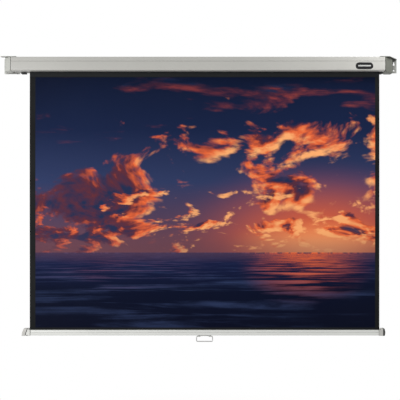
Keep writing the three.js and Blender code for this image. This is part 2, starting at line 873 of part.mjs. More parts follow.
function barShape() {
  const halfBar = barLength / 2;
  const past = halfBar + overrun;
  const hollow = rectangle(
    barDepth - 2 * barWall,
    -barHollowDrop,
    -barHeight + barWall,
    barRound - barWall,
  );
  const section = prism("x", rectangle(barDepth, 0, -barHeight, barRound), -halfBar, halfBar, [hollow]);
  const slot = block(-past, past, -slotHalf, slotHalf, -hemDrop, overrun);
  const hem = round("x", hemRodRadius + seat, -past, past, 0, -hemDrop, smallSides);
  const line = block(-past, past, -barDepth / 2 - overrun, -barDepth / 2 + barLine.depth,
    -barLine.drop - barLine.width, -barLine.drop);
  return without(section, slot, hem, line, bottomHole(-handleScrewAt), bottomHole(handleScrewAt));
}
add(bar, "bottom_bar", barShape(), barMetal);
add(bar, "hem_rod",
  round("x", hemRodRadius, -fabricWidth / 2, fabricWidth / 2, 0, -hemDrop, smallSides), greyPlastic);

// Ends of the bar

function barEnd(side, end) {
  const out = (u) => side * (barLength / 2 + u);
  const top = barEndRise;
  const foot = -barHeight - barEndFoot;
  const middle = (top + foot) / 2;
  const rounded = prism("x", rectangle(barEndDepth, top, foot, barEndRound),
    out(-barSocket - overrun), out(end.foot + overrun));
  const face = (corners) =>
    prism("y", corners.map(([u, z, r]) => [out(u), z, r]), -barEndDepth, barEndDepth).intersect(rounded);
  const socket = face([
    [-barSocket, foot],
    [end.seamFoot - seam / 2, foot],
    [end.seamTop - seam / 2, top],
    [end.step, top, barEndFoot],
    [end.step, barEndFoot],
    [-barSocket, barEndFoot, barEndFoot / 2],
  ]);
  const pocket = prism("x", rectangle(barDepth + 2 * seat, seat, -barHeight - seat, barRound),
    out(-barSocket - overrun), out(seat));
  const slit = block(out(-barSocket - overrun), out(-barPastFabric + seat), -slotHalf, slotHalf,
    -overrun, top + overrun);
  const stubZ = foot + stubUp;
  const seamAt = end.seamFoot + ((end.seamTop - end.seamFoot) * stubUp) / (top - foot);
  const stub = (radius, length) =>
    round("x", radius, out(seamAt - seam / 2 - length), out(seamAt + seam), 0, stubZ, smallSides);
  const nose = face([
    [end.seamFoot + seam / 2, foot],
    [end.foot, foot, barEndRound / 2],
    [end.middle, middle, barEndRound],
    [end.top, top, barEndRound / 2],
    [end.seamTop + seam / 2, top],
  ]);
  return {
    socket: without(socket, pocket, slit, stub(stubRadius + seat, stubLength + seat)),
    nose: joined(nose, stub(stubRadius, stubLength)),
  };
}
for (const [name, side, end, material] of [
  ["left", -1, leftEnd, barEndPale],
  ["right", 1, rightEnd, barEndDark],
]) {
  const { socket, nose } = barEnd(side, end);
  add(bar, `bar_socket_${name}`, socket, barEndPale);
  add(bar, `bar_end_${name}`, nose, material);
}

// Handle plate under the bar, its screws, and the wire handle

const handlePlateTop = -barHeight - seat;

function handlePlate() {
  const halfWidth = handlePlateWidth / 2;
  const halfDepth = handlePlateDepth / 2;
  const base = block(-halfWidth, halfWidth, -halfDepth, halfDepth,
    handlePlateTop - earPlate, handlePlateTop);
  const earFoot = -barHeight - pivotDrop - handleEar.below;
  const ears = [-1, 1].map((side) =>
    prism("x",
      [
        [-handleEar.depth / 2, earFoot, handleEar.below],
        [handleEar.depth / 2, earFoot, handleEar.below],
        [handleEar.depth / 2, handlePlateTop - earPlate / 2],
        [-handleEar.depth / 2, handlePlateTop - earPlate / 2],
      ],
      side * handleEar.at, side * (handleEar.at + handleEar.thickness)),
  );
  const bore = round("x", wire / 2 + run, -halfWidth - overrun, halfWidth + overrun,
    0, -barHeight - pivotDrop, smallSides);
  const holes = [-1, 1].map((side) =>
    round("z", screwRadius + run, handlePlateTop - earPlate - overrun, handlePlateTop + overrun,
      side * handleScrewAt, 0, smallSides),
  );
  return without(joined(base, ...ears), bore, ...holes);
}
add(bar, "handle_plate", handlePlate(), bracketSteel);
for (const [name, side] of [["left", -1], ["right", 1]]) {
  add(bar, `handle_screw_${name}`, domedScrew(handleScrewLength).rotateX(Math.PI), brightSteel)
    .position.set(side * handleScrewAt, 0, handlePlateTop - earPlate - seat);
}

function handlePath() {
  const x = handleWidth / 2 - wire / 2;
  const bend = handleRound;
  const v = (px, pz) => new THREE.Vector3(px, 0, pz);
  const path = new THREE.CurvePath();
  const line = (a, b) => path.add(new THREE.LineCurve3(a, b));
  const turn = (a, corner, b) => path.add(new THREE.QuadraticBezierCurve3(a, corner, b));
  line(v(-handleEndInset, 0), v(bend - x, 0));
  turn(v(bend - x, 0), v(-x, 0), v(-x, -bend));
  line(v(-x, -bend), v(-x, bend - handleDrop));
  turn(v(-x, bend - handleDrop), v(-x, -handleDrop), v(bend - x, -handleDrop));
  line(v(bend - x, -handleDrop), v(x - bend, -handleDrop));
  turn(v(x - bend, -handleDrop), v(x, -handleDrop), v(x, bend - handleDrop));
  line(v(x, bend - handleDrop), v(x, -bend));
  turn(v(x, -bend), v(x, 0), v(x - bend, 0));
  line(v(x - bend, 0), v(handleEndInset, 0));
  return path.curves.flatMap((curve) =>
    curve.isLineCurve3 ? [curve.v1, curve.v2] : curve.getPoints(arcSteps + 1),
  );
}

// A path through given points, straight between them
class Points extends THREE.Curve {
  constructor(points) {
    super();
    this.points = points.filter((p, i) => i === 0 || p.distanceTo(points[i - 1]) > 0);
  }
  getPoint(t, target = new THREE.Vector3()) {
    const last = this.points.length - 1;
    const k = Math.min(Math.floor(t * last), last - 1);
    return target.lerpVectors(this.points[k], this.points[k + 1], t * last - k);
  }
  getPointAt(t, target) {
    return this.getPoint(t, target);
  }
  getTangentAt(t, target = new THREE.Vector3()) {
    const last = this.points.length - 1;
    const k = Math.round(t * last);
    const before = this.points[Math.max(k - 1, 0)];
    const after = this.points[Math.min(k + 1, last)];
    const from = this.points[k].clone().sub(before).normalize();
    const to = after.clone().sub(this.points[k]).normalize();
    return target.copy(from).add(to).normalize();
  }
  getSpacedPoints() {
    return this.points;
  }
}
const handleCurve = new Points(handlePath());
add(handle, "pull_handle",
  new THREE.ExtrudeGeometry(new THREE.Shape(polygon(wire / 2, wireSides)), {
    steps: handleCurve.points.length - 1,
    extrudePath: handleCurve,
    bevelEnabled: false,
  }), brightSteel);

export default screen;
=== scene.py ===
"""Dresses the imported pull-down screen: case, caps, brackets, roller, sheet, bottom bar and handle.

Lengths are metres in the part's own frame: +X to the viewer's right, +Z up, the wall at y = 0.
"""

import json
import math
from functools import cache

import bmesh
import bpy
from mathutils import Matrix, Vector


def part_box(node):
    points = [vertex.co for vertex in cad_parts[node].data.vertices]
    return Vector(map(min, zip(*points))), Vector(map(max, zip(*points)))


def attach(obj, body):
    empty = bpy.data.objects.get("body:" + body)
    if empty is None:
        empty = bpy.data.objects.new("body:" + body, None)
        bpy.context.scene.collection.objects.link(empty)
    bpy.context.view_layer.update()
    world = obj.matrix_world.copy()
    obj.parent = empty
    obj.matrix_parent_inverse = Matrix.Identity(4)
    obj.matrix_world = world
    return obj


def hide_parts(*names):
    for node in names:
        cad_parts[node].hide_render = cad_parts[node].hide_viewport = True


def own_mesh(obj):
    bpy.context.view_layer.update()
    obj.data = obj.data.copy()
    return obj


bl_info = {
    "name": "Pull-Down Screen",
    "version": (1, 0, 0),
    "blender": (4, 5, 0),
    "location": "3D View > Sidebar > Screen",
    "description": "Dresses a pull-down projection screen around its packed parts",
    "category": "Add Mesh",
}

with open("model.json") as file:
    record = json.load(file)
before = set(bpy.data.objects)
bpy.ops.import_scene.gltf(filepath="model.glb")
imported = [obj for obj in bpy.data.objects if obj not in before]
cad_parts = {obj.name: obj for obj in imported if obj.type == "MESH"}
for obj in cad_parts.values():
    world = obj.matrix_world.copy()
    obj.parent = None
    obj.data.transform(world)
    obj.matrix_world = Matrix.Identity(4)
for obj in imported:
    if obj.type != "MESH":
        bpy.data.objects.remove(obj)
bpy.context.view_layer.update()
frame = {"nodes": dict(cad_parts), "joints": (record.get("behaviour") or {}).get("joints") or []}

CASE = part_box("case_shell")
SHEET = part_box("screen_fabric")
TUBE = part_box("roller_tube")
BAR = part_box("bottom_bar")
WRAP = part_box("fabric_wrap")
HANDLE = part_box("pull_handle")
AXIS_Y = (TUBE[0].y + TUBE[1].y) / 2
AXIS_Z = (TUBE[0].z + TUBE[1].z) / 2
TRAVEL = max(abs(v) for joint in frame["joints"] if joint["name"] == "screen_drop" for v in joint["range_m"])
KEEP = 1 - TRAVEL / (SHEET[1].z - SHEET[0].z)
TURN = 2 * math.pi
MERGE = 1e-6
HEAD_DEPTH = 0.002


def srgb(red, green, blue):
    """A colour given as it looks on a monitor, 0 to 255, as the linear one that shaders take."""
    shares = (value / 255 for value in (red, green, blue))
    return tuple(s / 12.92 if s <= 0.04045 else ((s + 0.055) / 1.055) ** 2.4 for s in shares)


def number_of(name, description, value, **kind):
    return bpy.props.FloatProperty(name=name, description=description, min=0, default=value, **kind)


def length_of(name, description, value):
    return number_of(name, description, value, unit="LENGTH", precision=5)


def share_of(name, description, value):
    return number_of(name, description, value, subtype="FACTOR", max=1)


def power_of(name, description, value):
    return number_of(name, description, value, unit="POWER")


def colour_of(name, description, *values):
    return bpy.props.FloatVectorProperty(
        name=name, description=description, subtype="COLOR", size=3, min=0, max=1, default=srgb(*values)
    )


class ScreenCaseSettings(bpy.types.PropertyGroup):
    wall: length_of("Sheet metal", "Thickness of the case's sheet metal", 0.0015)
    corner: length_of("Corner", "Outer radius of the case's corners", 0.003)
    front_corner: length_of("Front lower corner", "Outer radius below the front", 0.006)
    slot_front: length_of("Slot front", "From the wall to the slot's front edge", 0.042)
    slot_rear: length_of("Slot rear", "From the wall to the slot's rear edge", 0.016)
    turn_up: length_of("Turned edge", "Height of the edges turned up into the slot", 0.005)
    crease_drop: length_of("Crease drop", "From the top of the case to the pressed crease", 0.0207)
    crease_width: length_of("Crease width", "Width of the pressed crease", 0.003)
    crease_depth: length_of("Crease depth", "Depth of the pressed crease", 0.001)
    paint: colour_of("Case paint", "Satin paint on the sheet metal", 176, 175, 170)
    primer: colour_of("Worn paint", "What shows where the paint is rubbed at edges", 160, 160, 156)
    pale_cap: colour_of("Left cap", "Moulded cap at the left", 182, 183, 177)
    # Darker than the left cap: partly a grey moulding, partly painted shade for the right end, which stands
    # in shade.
    grey_shaded_cap: colour_of("Right cap", "Moulded cap at the right", 94, 96, 87)
    zinc: colour_of("Bracket", "Zinc on the hanging brackets", 164, 165, 160)
    rubber: colour_of("Rubber", "Stops below the case", 30, 30, 31)
    badge: colour_of("Badge", "Blank plate on the front", 22, 22, 23)
    inlay: colour_of("Badge stripe", "Plain raised stripe on the badge", 172, 173, 170)


class ScreenSheetSettings(bpy.types.PropertyGroup):
    left_border: length_of("Left border", "Black border at the left", 0.0264)
    right_border: length_of("Right border", "Black border at the right", 0.0198)
    top_border: length_of("Top border", "Black leader from the roller to the picture", 0.0573)
    foot_border: length_of("Lower border", "Black border above the bar", 0.0133)
    curl: length_of("Edge curl", "How far the side edges lean forward half way down", 0.0012)
    picture: share_of("Picture", "How strongly the shown picture covers the matte white", 1.0)
    white: colour_of("Matte white", "The bare viewing surface", 232, 232, 230)
    black: colour_of("Black", "Borders and backing", 28, 29, 30)
    night: colour_of("Upper sky", "Top of the shown picture", 12, 22, 47)
    dusk: colour_of("Lower sky", "Sky behind the clouds", 46, 57, 94)
    ember: colour_of("Cloud glow", "Clouds turned to the light", 226, 100, 56)
    gold: colour_of("Brightest glow", "Cloud rims nearest the sun", 250, 172, 110)
    wine: colour_of("Cloud shade", "Red shade inside the clouds", 94, 44, 54)
    slate: colour_of("Cloud base", "Blue shade below the clouds", 34, 44, 76)
    deep: colour_of("Deep water", "Sea at the foot of the picture", 7, 14, 37)
    foam: colour_of("Lit water", "Blue light on the waves", 66, 82, 126)


class ScreenBarSettings(bpy.types.PropertyGroup):
    corner: length_of("Corner", "Outer radius of the bar", 0.004)
    wall: length_of("Wall", "Wall of the hollow bar", 0.002)
    slot: length_of("Slot", "Width of the slot that takes the sheet", 0.001)
    hem: length_of("Hem seat", "Radius of the round seat for the hem", 0.0029)
    hem_drop: length_of("Hem drop", "From the bar's top to the hem seat", 0.0062)
    line_drop: length_of("Line drop", "From the bar's top to the line on its front", 0.0094)
    line_width: length_of("Line width", "Width of that line", 0.0014)
    line_depth: length_of("Line depth", "Depth of that line", 0.0008)
    tilt: length_of("Upper band", "How far the band above the line leans back", 0.0016)
    hollow_drop: length_of("Hollow drop", "From the bar's top to its hollow", 0.013)
    seam: length_of("Seam", "Width of the dark joint in each bar end", 0.0024)
    wire: length_of("Handle wire", "Diameter of the pull handle's wire", 0.0045)
    metal: colour_of("Bar", "Painted aluminium bar", 214, 215, 211)
    pale_end: colour_of("Bar ends", "Pale moulded bar ends", 212, 212, 208)
    grey_end: colour_of("Grey bar ends", "Greyer parts of the bar ends", 188, 187, 183)
    dark_end: colour_of("Right tip", "Dark tip at the right", 50, 48, 44)
    chrome: colour_of("Wire", "Plated wire of the handle", 176, 176, 174)


class ScreenStageSettings(bpy.types.PropertyGroup):
    level: number_of("Surroundings", "Plain light from all round", 0.5)
    key: power_of("Key light", "Power of the large light at the left", 52)
    fill: power_of("Fill light", "Power of the light at the right", 16)
    corner: power_of("Corner light", "Power of the small light at the right end", 2.8)
    floor: colour_of("Floor", "Plain pale floor", 244, 244, 243)
    drop: length_of("Floor below", "From the top of the case down to the floor", 2.3)


# Nodes


class Signal:
    """One output of a node. A sum written with it adds the nodes that work it out."""

    def __init__(self, nodes, socket):
        self.nodes = nodes
        self.socket = socket

    def __add__(self, other):
        return self.nodes.math("ADD", self, other)

    def __sub__(self, other):
        return self.nodes.math("SUBTRACT", self, other)

    def __rsub__(self, other):
        return self.nodes.math("SUBTRACT", other, self)

    def __mul__(self, other):
        return self.nodes.math("MULTIPLY", self, other)

    def __truediv__(self, other):
        return self.nodes.math("DIVIDE", self, other)

    def __rtruediv__(self, other):
        return self.nodes.math("DIVIDE", other, self)

    def span(self, low, high, out_low=0.0, out_high=1.0, kind="SMOOTHSTEP"):
        """Its way from low to high, as a number from out_low to out_high."""
        inputs = {0: self, 1: low, 2: high, 3: out_low, 4: out_high}
        return self.nodes.put("ShaderNodeMapRange", inputs, interpolation_type=kind)


class Nodes:
    """Adds nodes to a tree and links them."""

    def __init__(self, tree):
        self.tree = tree

    def feed(self, node, inputs):
        """Links or sets a node's inputs, each by its name or number."""
        for key, value in inputs.items():
            if isinstance(value, Signal):
                self.tree.links.new(value.socket, node.inputs[key])
            else:
                node.inputs[key].default_value = value

    def add(self, kind, inputs=None, **settings):
        node = self.tree.nodes.new(kind)
        row, column = divmod(len(self.tree.nodes), 12)
        node.location = (180 * column, -220 * row)
        for name, value in settings.items():
            setattr(node, name, value)
        self.feed(node, inputs or {})
        return node

    def put(self, kind, inputs=None, output=0, **settings):
        """Adds a node and gives one of its outputs."""
        return Signal(self, self.add(kind, inputs, **settings).outputs[output])

    def math(self, operation, *values, clamp=False):
        return self.put("ShaderNodeMath", dict(enumerate(values)), operation=operation, use_clamp=clamp)

    def vector(self, operation, *values, output=0):
        return self.put("ShaderNodeVectorMath", dict(enumerate(values)), output, operation=operation)

    def length(self, vector):
        return self.vector("LENGTH", vector, output="Value")

    def spread(self, x=0.0, y=0.0, z=0.0):
        return self.put("ShaderNodeCombineXYZ", {0: x, 1: y, 2: z})

    def signals(self, node):
        return [Signal(self, socket) for socket in node.outputs]

    def axes(self, vector):
        return self.signals(self.add("ShaderNodeSeparateXYZ", {0: vector}))

    def place(self):
        return self.put("ShaderNodeTexCoord", output="Object")

    def normal(self):
        return self.put("ShaderNodeNewGeometry", output="Normal")

    def mix(self, factor, first, second):
        """A colour between two, which may be plain ones."""
        first, second = (v if isinstance(v, Signal) else (*v, 1) for v in (first, second))
        inputs = {0: factor, 6: first, 7: second}
        return self.put("ShaderNodeMix", inputs, 2, data_type="RGBA", clamp_factor=True)

    def noise(self, place, scale, detail=2.0, roughness=0.5, distortion=0.0, flat=False, output=0):
        inputs = {
            "Vector": place, "Scale": scale, "Detail": detail,
            "Roughness": roughness, "Distortion": distortion,
        }
        return self.put("ShaderNodeTexNoise", inputs, output, noise_dimensions="2D" if flat else "3D")

    def ramp(self, value, *stops):
        """A colour for a value, from stops given as (place, colour)."""
        node = self.add("ShaderNodeValToRGB", {0: value})
        elements = node.color_ramp.elements
        while len(elements) < len(stops):
            elements.new(0.5)
        for element, (place, colour) in zip(elements, stops):
            element.position = place
            element.color = (*colour, 1)
        return Signal(self, node.outputs[0])

    def group(self, tree, **inputs):
        """Places a shader node group and gives its outputs."""
        return self.signals(self.add("ShaderNodeGroup", inputs, node_tree=tree))

    def give(self, kind="Float", **values):
        """Ends a node group with these outputs."""
        for label in values:
            self.tree.interface.new_socket(label, in_out="OUTPUT", socket_type="NodeSocket" + kind)
        self.add("NodeGroupOutput", values)
        return self.tree

    def give_piece(self, geometry, finish_taken):
        """Ends a Geometry Nodes tree: its instances are made real and take their material."""
        self.tree.is_modifier = True
        whole = self.put("GeometryNodeRealizeInstances", {0: geometry})
        painted = self.put("GeometryNodeSetMaterial", {"Geometry": whole, "Material": finish_taken})
        return self.give("Geometry", Piece=painted)


def group_of(title, kind, **takes):
    """A new node group. Each input is given by its kind, or by its default where it is a number."""
    tree = bpy.data.node_groups.new(title, kind + "NodeTree")
    for label, value in takes.items():
        named = isinstance(value, str)
        kind_of_socket = "NodeSocket" + (value if named else "Float")
        socket = tree.interface.new_socket(label, in_out="INPUT", socket_type=kind_of_socket)
        if not named:
            socket.default_value = value
    nodes = Nodes(tree)
    return nodes, {socket.name: Signal(nodes, socket) for socket in nodes.add("NodeGroupInput").outputs}


@cache
def grain_effect():
    """The fine unevenness of a painted, moulded or plated surface, and larger cloudy patches."""
    nodes, taken = group_of("Surface grain", "Shader", Size=0.0008, Patch=0.05)
    place = nodes.place()
    fine = nodes.noise(place, 1.0 / taken["Size"], 2.0, 0.55)
    pits = nodes.noise(place, 0.35 / taken["Size"], 1.0, 0.4)
    patches = nodes.noise(place, 1.0 / taken["Patch"], 4.0, 0.6, 0.4)
    return nodes.give(Grain=pits * 0.4 + fine * 0.6, Patches=patches.span(0.3, 0.7))


@cache
def wear_effect():
    """A mask of rubbed edges: where the surface turns within Width, broken up by noise."""
    nodes, taken = group_of("Edge wear", "Shader", Width=0.0008, Amount=0.5)
    turned = nodes.put("ShaderNodeBevel", {"Radius": taken["Width"]}, samples=4)
    edge = nodes.vector("DOT_PRODUCT", turned, nodes.normal(), output="Value").span(0.995, 0.86)
    broken = nodes.noise(nodes.place(), 90.0, 5.0, 0.65).span(0.42, 0.6)
    return nodes.give(Wear=edge * broken * taken["Amount"])


@cache
def dust_effect():
    """A mask of dust that settles on what faces up, thicker in patches."""
    nodes, taken = group_of("Dust", "Shader", Amount=0.3)
    up = nodes.axes(nodes.normal())[2].span(0.55, 0.98)
    place = nodes.place()
    patches = nodes.noise(place, 38.0, 6.0, 0.7).span(0.35, 0.75, 0.35)
    specks = nodes.noise(place, 900.0, 1.0).span(0.62, 0.72)
    return nodes.give(Dust=up * nodes.math("MAXIMUM", patches, specks) * taken["Amount"])


@cache
def corner_shade_effect():
    """A mask of painted shade: darkest in corners, creases and grooves, within Reach of another surface."""
    nodes, taken = group_of("Corner grime", "Shader", Reach=0.012, Amount=0.5)
    open_sky = nodes.put("ShaderNodeAmbientOcclusion", {"Distance": taken["Reach"]}, "AO", samples=6)
    return nodes.give(Grime=open_sky.span(0.96, 0.45) * taken["Amount"])


@cache
def drawn_effect():
    """Fine lines along X, as rolling, drawing or extruding leaves them."""
    nodes, taken = group_of("Drawn lines", "Shader", Spacing=0.0004, Stretch=60.0)
    x, y, z = nodes.axes(nodes.place())
    along = nodes.spread(x / taken["Stretch"], y, z)
    return nodes.give(Lines=nodes.noise(along, 1.0 / taken["Spacing"], 3.0, 0.6))


@cache
def weave_effect():
    """The fine cross weave of the coated sheet, from its UV map in metres."""
    nodes, taken = group_of("Cloth weave", "Shader", Place="Vector", Thread=0.0006)
    turns = TURN / taken["Thread"]
    across, down = (nodes.math("SINE", axis * turns) for axis in nodes.axes(taken["Place"])[:2])
    slub = nodes.noise(taken["Place"], 420.0, 3.0, 0.6)
    return nodes.give(Height=across * down * 0.35 + slub)


def times(colour, share):
    """A colour made lighter or darker by a share."""
    return [min(value * share, 1) for value in colour]


def new_material(name):
    made = bpy.data.materials.new(name)
    made.use_nodes = True
    return made, Nodes(made.node_tree), made.node_tree.nodes["Principled BSDF"]


FINISHES = {}


def finish(name, colour, roughness, metallic=0.0, grain=0.0008, depth=0.00002, patch=0.06, uneven=0.05,
           worn=None, wear=0.0, dust=0.0, painted_shade=0.0, reach=0.012, drawn=0.0, coat=0.0, shine=0.5):
    """A material: its colour broken by patches, worn at edges and dusted, darkened by painted shade in its
    corners, over grain and drawn lines.
    """
    FINISHES[name], nodes, shader = new_material(name)
    height, patches = nodes.group(grain_effect(), Size=grain, Patch=patch)
    base = nodes.mix(patches, times(colour, 1 - 2 * uneven), times(colour, 1 + uneven))
    rough = height.span(0.2, 0.8, max(roughness - 0.08, 0.03), min(roughness + 0.08, 1))
    if drawn:
        lines = nodes.group(drawn_effect(), Spacing=0.0005, Stretch=80.0)[0]
        base = nodes.mix(lines.span(0.3, 0.7, 0, drawn), base, times(colour, 0.8))
        height = lines * 0.6 + height
    if wear:
        mask = nodes.group(wear_effect(), Width=0.0009, Amount=wear)[0]
        base = nodes.mix(mask, base, worn or times(colour, 1 + uneven))
        rough = mask * 0.15 + rough
    if painted_shade:
        # painted shade: occlusion darkens corners and creases towards a dark grey
        mask = nodes.group(corner_shade_effect(), Reach=reach, Amount=painted_shade)[0]
        base = nodes.mix(mask, base, srgb(52, 50, 47))
    if dust:
        mask = nodes.group(dust_effect(), Amount=dust)[0]
        base = nodes.mix(mask, base, srgb(188, 184, 176))
        rough = nodes.math("MULTIPLY_ADD", mask, 0.3, rough, clamp=True)
    bump = nodes.put("ShaderNodeBump", {"Height": height, "Strength": 0.6, "Distance": depth})
    nodes.feed(shader, {
        "Base Color": base, "Roughness": rough, "Normal": bump, "Metallic": metallic, "Coat Weight": coat,
        "Coat Roughness": 0.25, "Specular IOR Level": shine,
    })


def make_finishes(case, bar, sheet):
    """Every finish of the screen, from the colours in its settings."""
    # The painted shade given here darkens the case in its pressed crease, the bracket below its top plate and
    # the bar in its front line.
    finish("case_paint", case.paint, 0.38, grain=0.0011, depth=0.00003, uneven=0.015, patch=0.3,
           worn=case.primer, wear=0.35, dust=0.25, coat=0.15, painted_shade=0.6, reach=0.004)
    finish("cap_pale", case.pale_cap, 0.5, grain=0.0006, depth=0.00005, uneven=0.02, wear=0.3, dust=0.2)
    finish("cap_grey", case.grey_shaded_cap, 0.5, grain=0.0007, depth=0.00006, patch=0.02, wear=0.4, dust=0.2)
    finish("bracket", case.zinc, 0.32, 0.7, depth=0.00001, uneven=0.07, patch=0.012,
           worn=srgb(188, 188, 186), wear=0.5, dust=0.25, drawn=0.25, painted_shade=0.9, reach=0.035)
    finish("steel", srgb(186, 187, 188), 0.28, 0.9, grain=0.0005, patch=0.01, worn=srgb(120, 118, 114),
           wear=0.3, drawn=0.2)
    finish("roller_steel", srgb(170, 172, 174), 0.32, 0.85, grain=0.001, uneven=0.08, patch=0.03, drawn=0.4)
    finish("rubber", case.rubber, 0.78, grain=0.0005, depth=0.00006, uneven=0.1, patch=0.01, wear=0.3,
           worn=srgb(66, 65, 64), dust=0.3)
    finish("badge_black", case.badge, 0.42, grain=0.0004, depth=0.00001, uneven=0.08, wear=0.4,
           worn=srgb(60, 60, 60), shine=0.25)
    finish("badge_pale", case.inlay, 0.45, grain=0.0003, depth=0.00001, uneven=0.04, patch=0.01, wear=0.3,
           drawn=0.2)
    finish("plastic_grey", srgb(141, 143, 144), 0.5, grain=0.0006, depth=0.00003, uneven=0.03, wear=0.3)
    finish("plastic_white", srgb(222, 222, 216), 0.5, grain=0.0006, depth=0.00003, uneven=0.02, wear=0.2)
    finish("bar_metal", bar.metal, 0.36, 0.1, grain=0.0009, uneven=0.015, patch=0.2, worn=srgb(176, 176, 172),
           wear=0.3, dust=0.15, drawn=0.08, coat=0.15, painted_shade=0.6, reach=0.003)
    finish("bar_end_pale", bar.pale_end, 0.46, grain=0.0006, depth=0.00004, uneven=0.03, wear=0.3, dust=0.15)
    finish("bar_end_grey", bar.grey_end, 0.5, grain=0.0006, depth=0.00004, uneven=0.03, patch=0.03, wear=0.3,
           dust=0.15)
    finish("bar_end_dark", bar.dark_end, 0.55, grain=0.0006, depth=0.00005, uneven=0.08,
           worn=srgb(110, 106, 98), wear=0.4, dust=0.15)
    finish("wire_chrome", bar.chrome, 0.22, 0.85, depth=0.00001, uneven=0.06, patch=0.008,
           worn=srgb(110, 108, 104), wear=0.2)
    finish("black_cloth", sheet.black, 0.85, grain=0.0007, depth=0.00004, uneven=0.08, patch=0.05, dust=0.1,
           shine=0.2)


def material(name):
    """A finish by its name. All are made when the first is asked for."""
    if not FINISHES:
        scene = bpy.context.scene
        make_finishes(scene.screen_case, scene.screen_bar, scene.screen_sheet)
    return FINISHES[name]


# Shapes


def circle(radius, sides, u=0.0, v=0.0):
    turns = (TURN * k / sides for k in range(sides))
    return [(u + radius * math.cos(t), v + radius * math.sin(t)) for t in turns]


def quarter(steps):
    """The angles of a quarter turn in so many steps."""
    return [TURN / 4 * k / steps for k in range(steps + 1)]


def block(low_u, high_u, low_v, high_v, radius):
    """A rectangle's corners, for rounded."""
    return [(u, v, radius) for u, v in ((low_u, low_v), (high_u, low_v), (high_u, high_v), (low_u, high_v))]


def rounded(corners, steps=8):
    """The points round a closed outline whose corners are (u, v, radius)."""
    points = []
    for i, (*here, radius) in enumerate(corners):
        here = Vector(here)
        if radius <= 0:
            points.append(tuple(here))
            continue
        back = (Vector(corners[i - 1][:2]) - here).normalized()
        ahead = (Vector(corners[(i + 1) % len(corners)][:2]) - here).normalized()
        half = math.acos(max(-1, min(1, back.dot(ahead)))) / 2
        centre = here + (back + ahead).normalized() * (radius / math.sin(half))
        start, end = (here + way * (radius / math.tan(half)) - centre for way in (back, ahead))
        first = math.atan2(start.y, start.x)
        turn = math.atan2(start.x * end.y - start.y * end.x, start.dot(end))
        angles = (first + turn * k / steps for k in range(steps + 1))
        points += [tuple(centre + radius * Vector((math.cos(a), math.sin(a)))) for a in angles]
    return points


def shown(name, data):
    """A new object in the scene."""
    made = bpy.data.objects.new(name, data)
    bpy.context.scene.collection.objects.link(made)
    return made


def piece_from(made, name):
    """An object in the scene from a bmesh, which is freed."""
    mesh = bpy.data.meshes.new(name)
    made.to_mesh(mesh)
    made.free()
    return shown(name, mesh)


def plain_mesh(piece, name):
    """What an object's modifiers make of it, as a new object with a plain mesh."""
    graph = bpy.context.evaluated_depsgraph_get()
    seen = piece.evaluated_get(graph)
    mesh = bpy.data.meshes.new_from_object(seen, preserve_all_data_layers=True, depsgraph=graph)
    mesh.name = name
    bpy.data.objects.remove(piece)
    return shown(name, mesh)


def shaded(piece, sharp):
    """Shades a piece smooth, save over edges that turn by more than so many degrees."""
    piece.data.shade_smooth()
    piece.data.set_sharp_from_angle(angle=math.radians(sharp))
    return piece


def soften(piece, width, segments=2):
    """Rounds the sharp edges a little and shades the rest smooth."""
    sharp = 35
    bevel = shaded(piece, sharp).modifiers.new("edges", "BEVEL")
    bevel.width = width
    bevel.segments = segments
    bevel.limit_method = "ANGLE"
    bevel.angle_limit = math.radians(sharp)
    bevel.harden_normals = True
    return piece


def merged(node):
    """A CAD node's shape as a new mesh, with its flat faces made whole."""
    made = bmesh.new()
    made.from_mesh(frame["nodes"][node].data)
    bmesh.ops.remove_doubles(made, verts=made.verts, dist=MERGE)
    bmesh.ops.dissolve_limit(made, angle_limit=math.radians(0.6), verts=made.verts, edges=made.edges)
    for layer in list(made.loops.layers.uv):
        made.loops.layers.uv.remove(layer)
    return made


def copied(node):
    return piece_from(merged(node), node + "_dressed")


def clad(piece, body, slot, nodes, *materials):
    """Gives a finished piece its materials and hangs it on its body in the place of CAD nodes."""
    if piece.data.materials:
        piece.data.materials.clear()
    for name in materials or (slot,):
        piece.data.materials.append(name if isinstance(name, bpy.types.Material) else material(name))
    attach(piece, body)
    if nodes:
        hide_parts(*nodes)


def ring_of(verts):
    return list(zip(verts, verts[1:] + verts[:1]))


def lofted(rings, dark_rows=0):
    """A closed shell through rings of equally many points, flat at its two ends. The first rows of
    faces may take the second material."""
    made = bmesh.new()
    rows = [[made.verts.new(p) for p in ring] for ring in rings]
    for row, (low, high) in enumerate(zip(rows, rows[1:])):
        for (a, b), (c, d) in zip(ring_of(low), ring_of(high)):
            made.faces.new((a, b, d, c)).material_index = int(row < dark_rows)
    made.faces.new(rows[0])
    made.faces.new(rows[-1])
    bmesh.ops.recalc_face_normals(made, faces=made.faces)
    return made


def lathed(profile, sides=24):
    """A turned shape round Z from (radius, z) points that begin and end on the axis."""
    made = bmesh.new()
    rings = [(circle(radius, sides) if radius else [(0, 0)], z) for radius, z in profile]
    rows = [[made.verts.new((x, y, z)) for x, y in ring] for ring, z in rings]
    for low, high in zip(rows, rows[1:]):
        for k in range(sides):
            foot = [low[i % len(low)] for i in (k, k + 1)]
            top = [high[i % len(high)] for i in (k + 1, k)]
            made.faces.new(list(dict.fromkeys(foot + top)))
    bmesh.ops.recalc_face_normals(made, faces=made.faces)
    return made


# Geometry node trees


